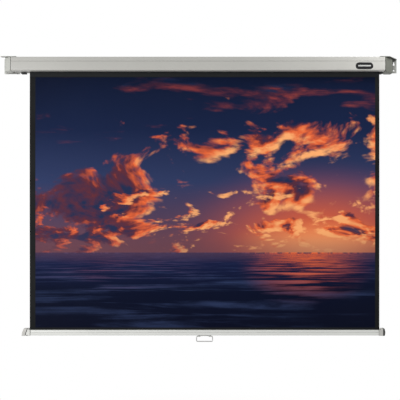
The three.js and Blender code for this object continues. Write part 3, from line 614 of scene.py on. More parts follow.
@cache
def rolled_tree():
    """A section face drawn out along X into a closed bar."""
    takes = {"Section": "Geometry", "Length": "Float", "Finish": "Material"}
    nodes, taken = group_of("Rolled section", "Geometry", **takes)
    section, along = taken["Section"], nodes.spread(1.0)
    inputs = {"Mesh": section, "Offset": along, "Offset Scale": taken["Length"], "Individual": False}
    drawn = nodes.put("GeometryNodeExtrudeMesh", inputs, mode="FACES")
    both = nodes.add("GeometryNodeJoinGeometry", {0: nodes.put("GeometryNodeFlipFaces", {0: section})})
    nodes.feed(both, {0: drawn})
    inputs = {"Geometry": Signal(nodes, both.outputs[0]), "Distance": MERGE}
    return nodes.give_piece(nodes.put("GeometryNodeMergeByDistance", inputs), taken["Finish"])


@cache
def wire_tree():
    """A round wire that follows a line of points."""
    takes = {"Path": "Geometry", "Radius": "Float", "Sides": "Int", "Finish": "Material"}
    nodes, taken = group_of("Round wire", "Geometry", **takes)
    line = nodes.put("GeometryNodeMeshToCurve", {"Mesh": taken["Path"]})
    inputs = {"Resolution": taken["Sides"], "Radius": taken["Radius"]}
    ring = nodes.put("GeometryNodeCurvePrimitiveCircle", inputs)
    wire = nodes.put("GeometryNodeCurveToMesh", {"Curve": line, "Profile Curve": ring, "Fill Caps": True})
    return nodes.give_piece(wire, taken["Finish"])


@cache
def screws_tree():
    """One screw set at each point, its head towards Pointing and its cross turned at random."""
    takes = {"Places": "Geometry", "Screw": "Object", "Seed": "Int", "Finish": "Material"}
    nodes, taken = group_of("Set screws", "Geometry", **takes)
    screw = nodes.put("GeometryNodeObjectInfo", {"Object": taken["Screw"]}, "Geometry")
    pointing = nodes.put("GeometryNodeInputNamedAttribute", {"Name": "pointing"}, data_type="FLOAT_VECTOR")
    facing = nodes.put("FunctionNodeAlignRotationToVector", {"Vector": pointing}, axis="Z")
    chance = nodes.put("FunctionNodeRandomValue", {3: TURN / 4, "Seed": taken["Seed"]}, 1, data_type="FLOAT")
    own = nodes.put("FunctionNodeAxisAngleToRotation", {"Axis": (0.0, 0.0, 1.0), "Angle": chance})
    inputs = {"Rotation": facing, "Rotate By": own}
    turned = nodes.put("FunctionNodeRotateRotation", inputs, rotation_space="LOCAL")
    points = nodes.put("GeometryNodeMeshToPoints", {"Mesh": taken["Places"]})
    inputs = {"Points": points, "Instance": screw, "Rotation": turned}
    placed = nodes.put("GeometryNodeInstanceOnPoints", inputs)
    return nodes.give_piece(placed, taken["Finish"])


def made_by(tree, piece, name, **values):
    """Runs a tree on an object with the given named inputs and returns the plain mesh that it makes."""
    modifier = piece.modifiers.new(tree.name, "NODES")
    modifier.node_group = tree
    for item in tree.interface.items_tree:
        if item.name in values:
            modifier[item.identifier] = values[item.name]
    return plain_mesh(piece, name)


def rolled(name, start, length, finish_name, *outlines):
    """A section drawn out along X from start. It is given as (y, z) outlines, its holes after the first."""
    made = bmesh.new()
    for points in outlines:
        verts = [made.verts.new((start, *p)) for p in points]
        for i, vert in enumerate(verts):
            made.edges.new((verts[i - 1], vert))
    bmesh.ops.triangle_fill(made, use_beauty=True, edges=made.edges[:])
    for face in made.faces:
        face.normal_update()
        if face.normal.x < 0:
            face.normal_flip()
    section = piece_from(made, name + "_section")
    return made_by(rolled_tree(), section, name, Length=length, Finish=material(finish_name))


def wired(name, points, radius, sides, finish_name):
    """A round wire along points."""
    made = bmesh.new()
    verts = [made.verts.new(p) for p in points]
    for ends in zip(verts, verts[1:]):
        made.edges.new(ends)
    path = piece_from(made, name + "_path")
    wire = made_by(wire_tree(), path, name, Radius=radius, Sides=sides, Finish=material(finish_name))
    return shaded(wire, 50)


# The case and what is fixed to it


def case_outline():
    """The case's section: the outside from the slot's front, then the inside back to it."""
    size = bpy.context.scene.screen_case
    low, high = CASE
    half, quarter_width = size.crease_width / 2, size.crease_width / 4
    crease = high.z - size.crease_drop
    pressed = low.y + size.crease_depth
    lip = low.z + size.turn_up

    def skin(t):
        """The face that lies t inside the outside."""
        fold = 0 if t else size.wall + 0.0003
        corner = size.corner - t
        return [
            (-size.slot_front - t, lip, 0),
            (-size.slot_front - t, low.z + t, fold),
            (low.y + t, low.z + t, size.front_corner - t),
            (low.y + t, crease - half, 0),
            (pressed + t, crease - quarter_width, 0),
            (pressed + t, crease + quarter_width, 0),
            (low.y + t, crease + half, 0),
            (low.y + t, high.z - t, corner),
            (high.y - t, high.z - t, corner),
            (high.y - t, low.z + t, corner),
            (-size.slot_rear + t, low.z + t, fold),
            (-size.slot_rear + t, lip, 0),
        ]

    return rounded(skin(0) + skin(size.wall)[::-1], 6)


def cap_piece(node, side, bevel, drop, edge, finish_name):
    """A moulded end cap: a plug for the case, a narrow joint, and a body rounded at its outer end."""
    size = bpy.context.scene.screen_case
    low, high = CASE
    near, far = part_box(node)
    end = high.x if side > 0 else low.x
    reach = far.x - end if side > 0 else end - near.x
    gap, ease, lead, neck = 0.002, 0.011, 0.0008, 0.0032
    brim, dish = 0.003, 0.0009
    slope = bevel / (reach - gap)

    def ring(u, inset, sink=drop):
        """The points round the cap at u outward from the case's end."""
        past = max(u - gap, 0)
        front, back, top = low.y + past * slope + inset, far.y - inset, high.z - inset
        foot = low.z - sink * math.sin(min(past / ease, 1) * TURN / 4) + inset
        bend = max(size.corner - inset, 0.0008)
        front_bend = max(size.front_corner - inset, 0.0012)
        corners = [(front, foot, front_bend), (front, top, bend), (back, top, bend), (back, foot, bend)]
        return [(end + side * u, y, z) for y, z in rounded(corners, 6)]

    rings = [ring(u, neck, 0) for u in (-0.0003, gap)]
    rings += [ring(gap + lead * (1 - math.cos(t)), lead * (1 - math.sin(t))) for t in (0.0, 0.8, TURN / 4)]
    rings += [ring(gap + (reach - edge - gap) * k / 8, 0.0) for k in range(1, 8)]
    rings += [ring(reach - edge * (1 - math.sin(t)), edge * (1 - math.cos(t))) for t in quarter(7)]
    rings += [ring(reach, edge + brim), ring(reach - dish, edge + brim + 0.0007)]
    # The two rows of faces at the joint take the cap's second material; on the left cap that is black rubber,
    # a painted shade for the shadow gap between cap and case.
    made = lofted(rings, 2)

    def skin(t, *bends):
        """The plug's face that lies t inside the case's outside, open at the slot."""
        foot, top = low.z + t, high.z - t
        points = [(-size.slot_front - 0.004, foot), (low.y + t, foot), (low.y + t, top), (high.y - t, top),
                  (high.y - t, foot), (-size.slot_rear + 0.004, foot)]
        return [(*point, bend) for point, bend in zip(points, bends)]

    fit, wall, length = size.wall + 0.0003, 0.002, 0.0116
    corners = skin(fit, 0, 0.004, 0.0015, 0.0015, 0.0015, 0) + skin(fit + wall, *[0] * 6)[::-1]
    start = min(end - side * 0.012, end - side * 0.0004)
    plug = rolled(node + "_plug", start, length, finish_name, rounded(corners, 4))
    made.from_mesh(plug.data)
    bpy.data.objects.remove(plug)
    return soften(piece_from(made, node + "_dressed"), 0.0002)


class PULLDOWN_OT_case(bpy.types.Operator):
    """Rolls the case from its section and closes it with two moulded end caps"""

    bl_idname = "pulldown.case"
    bl_label = "Case and end caps"

    def execute(self, context):
        low, high = CASE
        shell = rolled("case_shell_dressed", low.x, high.x - low.x, "case_paint", case_outline())
        clad(soften(shell, 0.0003), "case", "case_paint", ["case_shell"])
        left = cap_piece("end_cap_left", -1, 0.018, 0.001, 0.0035, "cap_pale")
        # painted shade: the left cap's joint takes black rubber, a dark band standing for the shadow gap at
        # the case's end
        clad(left, "case", "cap_pale", ["end_cap_left"], "cap_pale", "rubber")
        # painted shade, in part: the right cap's grey is darker than the left cap's, for the shade at the
        # right end
        right = cap_piece("end_cap_right", 1, 0.045, 0.006, 0.005, "cap_grey")
        clad(right, "case", "cap_grey", ["end_cap_right"], "cap_grey", "cap_grey")
        return {"FINISHED"}


def folded_bracket(node):
    """A bracket of folded steel, round along its folds and broken at its cut edges."""
    low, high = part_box(node)
    made = merged(node)

    def runs_at(edge, axis, value):
        return all(abs(vert.co[axis] - value) < 1e-5 for vert in edge.verts)

    folds = [
        edge for edge in made.edges
        if edge.calc_length() > 0.02 and runs_at(edge, 1, high.y)
        and (runs_at(edge, 2, high.z) or runs_at(edge, 2, low.z))
    ]
    bmesh.ops.bevel(
        made, geom=folds, offset=0.0022, segments=5, profile=0.5, affect="EDGES", clamp_overlap=True
    )
    return soften(piece_from(made, node + "_dressed"), 0.00025)


class PULLDOWN_OT_brackets(bpy.types.Operator):
    """Folds the two hanging brackets and moulds the rubber stops below the case"""

    bl_idname = "pulldown.brackets"
    bl_label = "Brackets and stops"

    def execute(self, context):
        for side in ("left", "right"):
            clad(folded_bracket("bracket_" + side), "case", "bracket", ["bracket_" + side])
            clad(soften(copied("stop_" + side), 0.0007, 3), "case", "rubber", ["stop_" + side])
        return {"FINISHED"}


def cross_screw(name, length, domed):
    """A cross-recessed screw along Z: its head's top at zero, or its domed head standing on zero."""
    shank, head, depth = 0.002, 0.0042, HEAD_DEPTH
    profile = [(0, -length), (shank * 0.6, -length), (shank, -length + 0.001)]
    if domed:
        dome = [(head * math.cos(t), depth * math.sin(t)) for t in quarter(6)[:-1]]
        profile += [(shank, 0), *dome, (0, depth)]
    else:
        profile += [(shank, -depth), (head, -0.0004), (head, -0.00015), (head - 0.00025, 0), (0, 0)]
    top = profile[-1][1]
    rings = []
    for z, arm, half in ((top + 0.0005, 0.0026, 0.00052), (top - 0.0014, 0.0011, 0.0003)):
        cross = [(arm, -half), (arm, half), (half, half)]
        for _ in range(3):
            cross += [(-y, x) for x, y in cross[-3:]]
        rings.append([(x, y, z) for x, y in cross])
    recess = piece_from(lofted(rings), name + "_recess")
    whole = piece_from(lathed(profile), name + "_uncut")
    cut = whole.modifiers.new("cut", "BOOLEAN")
    cut.operation = "DIFFERENCE"
    cut.solver = "EXACT"
    cut.object = recess
    screw = shaded(plain_mesh(whole, name), 28)
    bpy.data.objects.remove(recess)
    return screw


def set_screws(name, screw, places, seed):
    """Screws at places given as (point, direction of the head), as one mesh."""
    mesh = bpy.data.meshes.new(name + "_places")
    mesh.from_pydata([point for point, _ in places], [], [])
    pointing = mesh.attributes.new("pointing", "FLOAT_VECTOR", "POINT")
    for i, (_, way) in enumerate(places):
        pointing.data[i].vector = way
    holder = shown(name + "_places", mesh)
    return made_by(screws_tree(), holder, name, Screw=screw, Seed=seed, Finish=material("steel"))


def head_of(node, way, sunk):
    """The middle of a screw's outer end, from the screw's CAD box, moved in by so much."""
    low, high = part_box(node)
    middle = (low + high) / 2
    for i in range(3):
        if way[i]:
            middle[i] = high[i] if way[i] > 0 else low[i]
    return middle - Vector(way) * sunk


class PULLDOWN_OT_screws(bpy.types.Operator):
    """Sets the screws of the brackets and of the handle plate, each cross turned its own way"""

    bl_idname = "pulldown.screws"
    bl_label = "Screws"

    def execute(self, context):
        up, back, down = (0, 0, 1), (0, 1, 0), (0, 0, -1)
        sides = ("left", "right")
        flat = {f"bracket_screw_{side}_{end}": up for side in sides for end in ("front", "rear")}
        flat |= {"back_screw_" + side: back for side in sides}
        for name, body, length, seed, ways in (
            ("bracket_screws", "case", 0.012, 3, flat),
            ("foot_screw", "case", 0.008, 5, {"foot_screw_left": down}),
            ("handle_screws", "bar", 0.007, 5, {"handle_screw_" + side: down for side in sides}),
        ):
            domed = ways is not flat
            screw = cross_screw("domed_screw" if domed else "flat_screw", length, domed)
            places = [(head_of(node, way, HEAD_DEPTH if domed else 0), way) for node, way in ways.items()]
            clad(set_screws(name, screw, places, seed), body, "steel", list(ways))
            bpy.data.objects.remove(screw)
        return {"FINISHED"}


def plaque(name, node, edge):
    """A flat plate with round ends, its rim rounded towards the front."""
    low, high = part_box(node)
    half = (high.z - low.z) / 2
    rings = []
    for t in quarter(4):
        inset = edge * (1 - math.cos(t))
        y = low.y + edge * (1 - math.sin(t))
        ends = block(low.x + inset, high.x - inset, low.z + inset, high.z - inset, half - inset - 0.0002)
        rings.append([(x, y, z) for x, z in rounded(ends, 12)])
    rings.insert(0, [(x, high.y, z) for x, y, z in rings[0]])
    return shaded(piece_from(lofted(rings), name), 40)


class PULLDOWN_OT_badge(bpy.types.Operator):
    """Fixes the blank badge with its plain stripe on the front of the case"""

    bl_idname = "pulldown.badge"
    bl_label = "Blank badge"

    def execute(self, context):
        clad(plaque("badge_plate_dressed", "badge_plate", 0.0009), "case", "badge_black", ["badge_plate"])
        clad(plaque("badge_inlay_dressed", "badge_inlay", 0.0004), "case", "badge_pale", ["badge_inlay"])
        return {"FINISHED"}


class PULLDOWN_OT_roller(bpy.types.Operator):
    """Winds the spring and the first turn of fabric, and finishes the works inside the case"""

    bl_idname = "pulldown.roller"
    bl_label = "Roller and spring"

    def execute(self, context):
        low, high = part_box("torsion_spring")
        wire, clear, fabric, turns, steps = 0.0022, 0.0003, 0.0004, 24, 24
        radius = (high.z - low.z - wire) / 2
        start, end = low.x + wire / 2 + clear, high.x - wire / 2 - clear
        coil = circle(radius, steps, AXIS_Y, AXIS_Z)
        count = turns * steps
        points = [(start + (end - start) * k / count, *coil[k % steps]) for k in range(count + 1)]
        spring = wired("torsion_spring_dressed", points, wire / 2, 8, "steel")
        clad(spring, "case", "steel", ["torsion_spring"])
        low, high = WRAP
        outer = (high.z - low.z) / 2
        circles = [circle(radius, 96, AXIS_Y, AXIS_Z) for radius in (outer, outer - fabric)]
        wrap = rolled("fabric_wrap_dressed", low.x, high.x - low.x, "black_cloth", *circles)
        clad(shaded(wrap, 40), "roller", "rubber", ["fabric_wrap"], "black_cloth")
        works = {
            "steel": (
                "spring_rod", "ratchet_wheel", "spring_anchor_inner",
                "gudgeon_pin", "pawl_upper", "pawl_lower",
            ),
            "roller_steel": ("roller_tube",),
            "plastic_grey": ("spring_plug", "spring_anchor_outer", "idle_plug", "hem_rod"),
            "plastic_white": ("bearing_bush", "fabric_spline", "rod_guide"),
            "rubber": ("pawl_clip_upper", "pawl_clip_lower"),
        }
        for name, nodes in works.items():
            for node in nodes:
                materials = frame["nodes"][node].data.materials
                materials.clear()
                materials.append(material(name))
        return {"FINISHED"}


# The sheet and the picture on it


@cache
def cloud_effect():
    """A bank of billowing cloud: where it is, and how much of the sun its sides catch."""
    nodes, taken = group_of("Cloud bank", "Shader", Place="Vector", Sun="Vector", Scale=3.0, Flatness=1.5,
                            Gather=0.0, Soft=0.1, Seed=1.0)
    place, scale, seed = taken["Place"], taken["Scale"], taken["Seed"]
    shape = nodes.spread(scale, scale * taken["Flatness"])
    shift = nodes.spread(seed, seed)

    def height(place):
        scaled = nodes.vector("MULTIPLY_ADD", place, shape, shift)
        drift = nodes.vector("SUBTRACT", nodes.noise(scaled, 0.8, flat=True, output=1), (0.5, 0.5, 0.5))
        bent = nodes.vector("MULTIPLY_ADD", drift, (0.7, 0.7, 0.0), scaled)
        soft = nodes.noise(bent, 1.0, 7.0, 0.56, flat=True)
        inputs = {"Vector": bent, "Scale": 2.3, "Detail": 3.0, "Roughness": 0.6}
        puffs = nodes.put("ShaderNodeTexVoronoi", inputs, feature="F1", voronoi_dimensions="2D")
        return puffs * -0.16 + soft

    sunward = nodes.vector("NORMALIZE", nodes.vector("SUBTRACT", taken["Sun"], place))
    here = height(place)
    there = height(nodes.vector("MULTIPLY_ADD", sunward, (0.03, 0.03, 0.0), place))
    thick = here + taken["Gather"]
    deep = thick.span(0.42, 0.62, 0.18, -0.2)
    light = nodes.math("ADD", (here - there) * 3.0 + 0.5, deep, clamp=True)
    return nodes.give(Cloud=thick.span(0.4, taken["Soft"] + 0.4), Light=light)


def dusk_picture(nodes, across, up, size):
    """Dusk over open water: banks of lit cloud on a dark blue sky, with some of their light on the waves."""
    horizon, stretch = 0.3, 1.354
    sun = (0.8 * stretch, 0.34, 0.0)
    place = nodes.spread(across * stretch, up)
    rust, shade = srgb(150, 62, 58), srgb(84, 60, 78)

    def near(x, y, wide, tall):
        """1 at a point of the picture, falling to 0 at the edge of an ellipse round it."""
        return nodes.length(nodes.spread((across - x) / wide, (up - y) / tall)).span(1.0, 0.0)

    height = up.span(horizon, 1.0, kind="LINEAR")
    sky = nodes.ramp(height, (0.0, srgb(116, 70, 74)), (0.16, srgb(84, 62, 84)), (0.4, size.dusk),
                     (0.7, srgb(22, 34, 66)), (1.0, size.night))
    sky = nodes.mix(nodes.math("POWER", near(0.84, 0.36, 0.5, 0.34), 1.4) * 0.9, sky, size.ember)
    sky = nodes.mix(near(0.84, 0.32, 0.3, 0.13) * 0.7, sky, size.gold)
    reach = near(0.8, 0.42, 1.05, 0.85) * 0.75 + 0.5

    def bank(under, gather, warm, bright, strength=1.0, **shape):
        """A bank of cloud over a picture."""
        cloud, light = nodes.group(cloud_effect(), Place=place, Sun=sun, Gather=gather, **shape)
        colour = nodes.ramp(light * reach, (0.16, size.slate), (0.4, size.wine), (0.64, warm), (0.95, bright))
        return nodes.mix(cloud * strength, under, colour)

    high = up.span(0.62, 0.95, -0.14, 0.05)
    sky = bank(sky, high, rust, size.ember, 0.75, Scale=2.2, Flatness=3.2, Soft=0.3, Seed=11.0)
    middle = nodes.math("MAXIMUM", near(0.86, 0.66, 0.6, 0.36), near(0.22, 0.56, 0.5, 0.3)) * 0.26 - 0.13
    sky = bank(sky, middle, size.ember, size.gold, Scale=2.6, Flatness=1.7, Soft=0.12, Seed=7.3)
    low = nodes.math("ABSOLUTE", up - 0.39) * -1.6 + 0.13
    sky = bank(sky, low, size.ember, size.gold, 0.95, Scale=4.2, Flatness=2.4, Soft=0.1, Seed=4.0)
    sky = nodes.mix(up.span(horizon + 0.09, horizon) * 0.45, sky, shade)

    far = 0.06 / nodes.math("MAXIMUM", horizon - up, 0.004)
    swell = nodes.noise(nodes.spread((across - 0.5) * far * 5.0, far * 16.0), 1.0, 7.0, 0.62, 0.6)
    broad = nodes.noise(nodes.spread(across * 2.2, up * 7.0), 2.0, 5.0, 0.6)
    sea = nodes.ramp(up.span(0.0, horizon, kind="LINEAR"), (0.0, srgb(6, 10, 30)), (0.5, size.deep),
                     (0.86, srgb(20, 28, 62)), (1.0, srgb(70, 52, 76)))
    sea = nodes.mix((broad * 0.35 + swell).span(0.64, 0.86) * 0.4, sea, size.foam)
    path = near(0.8, 0.3, 0.22, 0.26) * up.span(0.06, horizon)
    sea = nodes.mix((broad * 0.3 + swell).span(0.6, 0.74) * path * 1.2, sea, size.ember)
    sea = nodes.mix(near(0.25, 0.26, 0.34, 0.14) * swell.span(0.5, 0.8) * 0.6, sea, srgb(150, 64, 58))

    picture = nodes.mix(up.span(horizon - 0.002, horizon + 0.002), sea, sky)
    return nodes.mix(near(0.5, 0.55, 0.95, 0.95).span(0.0, 0.5, 0.6, 0.0), picture, srgb(10, 14, 30))


def printed_sheet():
    """The front of the sheet: a dusk picture on matte white, inside a black border, over a fine weave."""
    size = bpy.context.scene.screen_sheet
    width, length = SHEET[1].x - SHEET[0].x, SHEET[1].z - SHEET[0].z
    left, right = size.left_border / width, 1 - size.right_border / width
    foot, top = size.foot_border / length, 1 - size.top_border / length
    made, nodes, shader = new_material("printed_sheet")
    place = nodes.put("ShaderNodeUVMap", uv_map="sheet")
    x, z, _ = nodes.axes(place)
    across, up = x.span(left, right, kind="LINEAR"), z.span(foot, top, kind="LINEAR")

    def from_ends(share, reach):
        return nodes.math("MINIMUM", share, 1.0 - share) * reach

    sides, ends = from_ends(across, (right - left) * width), from_ends(up, (top - foot) * length)
    inside = nodes.math("MINIMUM", sides, ends).span(0.0, 0.0006)
    speckle = nodes.noise(place, 260.0, 2.0, 0.6).span(0.3, 0.7)
    white = nodes.mix(speckle, times(size.white, 0.97), size.white)
    shown_picture = nodes.mix(size.picture, white, dusk_picture(nodes, across, up, size))
    in_metres = nodes.spread(x * width, z * length)
    faded = nodes.noise(in_metres, 6.0, 4.0, 0.6)
    black = nodes.mix(faded.span(0.3, 0.7), times(size.black, 0.8), times(size.black, 1.25))
    # painted light: the black above the picture, just below the case, is drawn lighter to offset the case's
    # shadow that falls on it
    black = nodes.mix(z.span(top, top + 0.004, 0.0, 0.9), black, times(size.black, 1.8))
    weave = nodes.group(weave_effect(), Place=in_metres, Thread=0.0009)[0]
    nodes.feed(shader, {
        "Base Color": nodes.mix(inside, black, shown_picture),
        "Roughness": faded.span(0.2, 0.8, 0.62, 0.74),
        "Normal": nodes.put("ShaderNodeBump", {"Height": weave, "Strength": 0.35, "Distance": 0.00003}),
        "Specular IOR Level": 0.05,
    })
    return made


def hanging_sheet(name):
    """The sheet as a thin closed grid from the roller into the bar, curled a little along its sides.

    Its foot is flat as far up as ends inside the bar when the sheet is drawn up.
    """
    curl = bpy.context.scene.screen_sheet.curl
    low, high = SHEET
    width, length = high.x - low.x, high.z - low.z
    columns, rows = 88, 66
    upper_fade, lower_fade, curl_reach = 0.25, 0.2, 0.03
    slot_foot = CASE[0].z
    flat_up_to = low.z + (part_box("bar_socket_left")[1].z - low.z) / KEEP
    made = bmesh.new()
    uv = made.loops.layers.uv.new("sheet")

    def lean(x, z):
        """How far back the sheet stands from flat."""
        from_slot, from_bar = (slot_foot - z) / upper_fade, (z - flat_up_to) / lower_fade
        hanging = min(max(from_slot, 0), 1) * min(max(from_bar, 0), 1)
        hanging = hanging * hanging * (3 - 2 * hanging)
        side = min(x - low.x, high.x - x)
        wave = 0.0005 * math.sin(9.0 * x + 1.3) * math.sin(4.1 * z) + 0.0003 * math.sin(23.0 * x + 5.0 * z)
        return hanging * (wave - curl * math.exp(-side / curl_reach))

    def grid(y):
        xs = [low.x + width * i / columns for i in range(columns + 1)]
        zs = [low.z + length * j / rows for j in range(rows + 1)]
        return [[made.verts.new((x, y + lean(x, z), z)) for x in xs] for z in zs]

    def rim(lines):
        up, down = [line[-1] for line in lines[1:]], [line[0] for line in lines[-2:0:-1]]
        return ring_of(lines[0] + up + lines[-1][-2::-1] + down)

    front, back = grid(low.y), grid(high.y)
    for j in range(rows):
        for i in range(columns):
            made.faces.new((front[j][i], front[j][i + 1], front[j + 1][i + 1], front[j + 1][i]))
            behind = made.faces.new((back[j][i], back[j + 1][i], back[j + 1][i + 1], back[j][i + 1]))
            behind.material_index = 1
    for (a, b), (c, d) in zip(rim(front), rim(back)):
        made.faces.new((b, a, c, d)).material_index = 1
    for face in made.faces:
        for loop in face.loops:
            x, _, z = loop.vert.co
            loop[uv].uv = ((x - low.x) / width, (z - low.z) / length)
    return shaded(piece_from(made, name), 40)


class PULLDOWN_OT_sheet(bpy.types.Operator):
    """Hangs the sheet with its black border from the roller into the bar"""

    bl_idname = "pulldown.sheet"
    bl_label = "Sheet"

    def execute(self, context):
        sheet = hanging_sheet("screen_sheet")
        clad(sheet, "case", "screen_fabric", ["screen_fabric"], printed_sheet(), material("black_cloth"))
        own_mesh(sheet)
        return {"FINISHED"}


# The bar and its handle


def end_seam(side, width, start):
    """The dark core that shows in the joint between a bar end and its socket, from start above their foot."""
    node = "bar_socket_" + side
    low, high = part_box(node)
    way = -1 if side == "left" else 1
    places = [v.co for v in frame["nodes"][node].data.vertices]
    top, foot = (max(way * p.x for p in places if abs(p.z - z) < 1e-4) for z in (high.z, low.z))
    proud, bend, lap = 0.0002, 0.005, 0.0005
    corners = block(low.y - proud, high.y + proud, low.z + start - proud, high.z + proud, bend)

    def across(z):
        return foot + (top - foot) * (z - low.z) / (high.z - low.z)

    sides = [[(way * (across(z) + u), y, z) for y, z in rounded(corners, 6)] for u in (-lap, width + lap)]
    return piece_from(lofted(sides), "bar_seam_" + side)


def seam_hook():
    """The dark line that turns in from the left joint along the foot of its socket."""
    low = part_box("bar_socket_left")[0]
    millimetre, sunk, radius = 0.001, 0.0007, 0.0014
    turn = [(9.8, 12.0), (10.9, 9.3), (10.6, 7.0), (9.0, 5.0), (6.2, 3.7), (3.2, 3.2), (0.2, 3.1)]
    points = [(BAR[0].x - millimetre * out, low.y + sunk, low.z + millimetre * up) for out, up in turn]
    return wired("bar_seam_hook", points, radius, 12, "rubber")


def bar_outlines(size):
    """The bar's section, with its hem seat and front line, and the section of its hollow."""
    low, high = BAR
    middle, half = (low.y + high.y) / 2, size.slot / 2
    seat_z, line_top = high.z - size.hem_drop, high.z - size.line_drop
    first = math.asin(half / size.hem)
    turns = (first + (TURN - 2 * first) * k / 24 for k in range(25))
    corners = [
        (low.y, low.z, size.corner),
        (high.y, low.z, size.corner),
        (high.y, high.z, size.corner),
        (middle + half, high.z, 0),
        *((middle + size.hem * math.sin(t), seat_z + size.hem * math.cos(t), 0) for t in turns),
        (middle - half, high.z, 0),
        (low.y + size.tilt, high.z, size.corner),
        (low.y, line_top, 0),
        (low.y + size.line_depth, line_top, 0),
        (low.y + size.line_depth, line_top - size.line_width, 0),
        (low.y, line_top - size.line_width, 0),
    ]
    wall = size.wall
    hollow = block(low.y + wall, high.y - wall, low.z + wall, high.z - size.hollow_drop, size.corner - wall)
    return rounded(corners, 8), rounded(hollow, 4)


class PULLDOWN_OT_bar(bpy.types.Operator):
    """Extrudes the bottom bar with its hem slot and front line, and fits its ends"""

    bl_idname = "pulldown.bar"
    bl_label = "Bottom bar and ends"

    def execute(self, context):
        size = context.scene.screen_bar
        low, high = BAR
        bar = rolled("bottom_bar_dressed", low.x, high.x - low.x, "bar_metal", *bar_outlines(size))
        clad(soften(bar, 0.0002), "bar", "bar_metal", ["bottom_bar"])
        for seam in (end_seam("left", size.seam, 0.0045), seam_hook(), end_seam("right", size.seam, 0.0)):
            clad(seam, "bar", "rubber", [])
        for node, slot, finish_name in (
            ("bar_socket_left", "bar_end_pale", "bar_end_pale"),
            ("bar_end_left", "bar_end_pale", "bar_end_grey"),
            ("bar_socket_right", "bar_end_pale", "bar_end_grey"),
            ("bar_end_right", "bar_end_dark", "bar_end_dark"),
        ):
            clad(soften(copied(node), 0.0006, 3), "bar", slot, [node], finish_name)
        return {"FINISHED"}


class PULLDOWN_OT_handle(bpy.types.Operator):
    """Bends the wire pull handle and stamps the plate that it swings in"""

    bl_idname = "pulldown.handle"
    bl_label = "Pull handle"

    def execute(self, context):
        low, high = HANDLE
        radius = context.scene.screen_bar.wire / 2
        left, right, foot, pivot = low.x + radius, high.x - radius, low.z + radius, high.z - radius
        middle, y = (low.x + high.x) / 2, (low.y + high.y) / 2
        inward, bend = 0.019, 0.005
        corners = [
            (middle - inward, pivot, 0),
            (left, pivot, bend),
            (left, foot, bend),
            (right, foot, bend),
            (right, pivot, bend),
            (middle + inward, pivot, 0),
        ]
        points = [(x, y, z) for x, z in rounded(corners, 8)]
        wire = wired("pull_handle_dressed", points, radius, 24, "wire_chrome")
        clad(wire, "handle", "steel", ["pull_handle"], "wire_chrome")
        clad(soften(copied("handle_plate"), 0.0003), "bar", "bracket", ["handle_plate"], "bar_metal")
        return {"FINISHED"}


# Stage


def lamp(name, place, target, energy, side, shines=True):
    light = bpy.data.lights.new(name, "AREA")
    light.shape = "SQUARE"
    light.size = side
    light.energy = energy
    held = shown(name, light)
    held.location = place
    held.rotation_euler = (Vector(target) - Vector(place)).to_track_quat("-Z", "Y").to_euler()
    held.visible_glossy = shines


def looked_at(nodes):
    """1 for rays from the camera, a reflection or something clear, 0 for those that light the part."""
    path = nodes.add("ShaderNodeLightPath").outputs
    kinds = ("Camera", "Glossy", "Transmission")
    camera, glossy, clear = (Signal(nodes, path[f"Is {kind} Ray"]) for kind in kinds)
    return nodes.math("MAXIMUM", nodes.math("MAXIMUM", camera, glossy), clear)


def surroundings(level):
    """Plain light from all round, seen as white by the camera and in reflections."""
    world = bpy.data.worlds.new("plain_white")
    world.use_nodes = True
    nodes = Nodes(world.node_tree)
    strength = looked_at(nodes).span(0.0, 1.0, level, 1.0, "LINEAR")
    nodes.feed(world.node_tree.nodes["Background"], {"Strength": strength, "Color": (1, 1, 1, 1)})
    bpy.context.scene.world = world


def floor_piece(colour, z):
    """A plain pale floor that stays white to the camera and still holds a soft shadow."""
    made = bmesh.new()
    bmesh.ops.create_grid(made, x_segments=8, y_segments=8, size=6)
    for vert in made.verts:
        vert.co.z = z
    floor = piece_from(made, "floor")
    surface, nodes, shader = new_material("pale_floor")
    place = nodes.place()
    cloudy = nodes.noise(place, 1.4, 4.0, 0.6).span(0.3, 0.7)
    nodes.feed(shader, {"Base Color": nodes.mix(cloudy, times(colour, 0.985), colour), "Roughness": 0.8})
    away = nodes.length(nodes.vector("MULTIPLY", place, (1, 1, 0)))
    share = looked_at(nodes) * away.span(0.9, 2.6, 0.7, 1.0)
    white = nodes.put("ShaderNodeEmission", {"Strength": 1.0})
    both = nodes.put("ShaderNodeMixShader", {0: share, 1: Signal(nodes, shader.outputs[0]), 2: white})
    nodes.feed(surface.node_tree.nodes["Material Output"], {"Surface": both})
    floor.data.materials.append(surface)


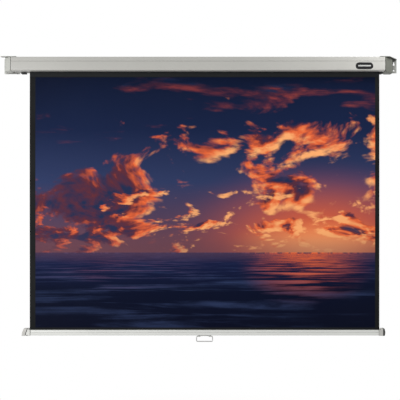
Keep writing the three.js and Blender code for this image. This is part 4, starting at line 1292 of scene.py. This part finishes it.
class PULLDOWN_OT_stage(bpy.types.Operator):
    """Sets the floor, the soft lights and the camera"""

    bl_idname = "pulldown.stage"
    bl_label = "Floor, lights and camera"

    def execute(self, context):
        scene = context.scene
        size = scene.screen_stage
        floor_piece(size.floor, CASE[1].z - size.drop)
        surroundings(size.level)
        lamp("key", (-2.3, -2.3, -0.4), (-0.3, 0, -0.9), size.key, 1.3)
        lamp("fill", (2.4, -2.0, 0.0), (0.75, 0, -0.25), size.fill, 0.9, False)
        lamp("corner", (1.05, -0.45, 0.35), (0.86, 0, -0.03), size.corner, 0.2, False)
        sensor, focal_pixels, picture_pixels = 36, 658.8, 400
        data = bpy.data.cameras.new("camera")
        data.sensor_width = sensor
        data.lens = sensor * focal_pixels / picture_pixels
        scene.camera = shown("camera", data)
        scene.camera.location = (0.0095, -3.135, -0.634)
        scene.camera.rotation_euler = (TURN / 4, 0, 0)
        scene.view_settings.view_transform = "Standard"
        return {"FINISHED"}


OPERATORS = (
    PULLDOWN_OT_case,
    PULLDOWN_OT_brackets,
    PULLDOWN_OT_screws,
    PULLDOWN_OT_badge,
    PULLDOWN_OT_roller,
    PULLDOWN_OT_bar,
    PULLDOWN_OT_handle,
    PULLDOWN_OT_sheet,
    PULLDOWN_OT_stage,
)
SETTINGS = {
    "screen_case": ScreenCaseSettings,
    "screen_sheet": ScreenSheetSettings,
    "screen_bar": ScreenBarSettings,
    "screen_stage": ScreenStageSettings,
}


class PULLDOWN_PT_screen(bpy.types.Panel):
    """Lists the sizes, the colours and the pieces of the screen"""

    bl_idname = "PULLDOWN_PT_screen"
    bl_label = "Pull-Down Screen"
    bl_space_type = "VIEW_3D"
    bl_region_type = "UI"
    bl_category = "Screen"

    def draw(self, context):
        for operator in OPERATORS:
            self.layout.operator(operator.bl_idname)
        for name, group in SETTINGS.items():
            box = self.layout.box()
            for prop in group.__annotations__:
                box.prop(getattr(context.scene, name), prop)


CLASSES = (*SETTINGS.values(), *OPERATORS, PULLDOWN_PT_screen)


def register():
    for kind in CLASSES:
        bpy.utils.register_class(kind)
    for name, group in SETTINGS.items():
        setattr(bpy.types.Scene, name, bpy.props.PointerProperty(type=group))


def unregister():
    for name in SETTINGS:
        delattr(bpy.types.Scene, name)
    for kind in reversed(CLASSES):
        bpy.utils.unregister_class(kind)


def main():
    register()
    for operator in OPERATORS:
        group, name = operator.bl_idname.split(".")
        getattr(getattr(bpy.ops, group), name)()


if __name__ == "__main__":
    main()
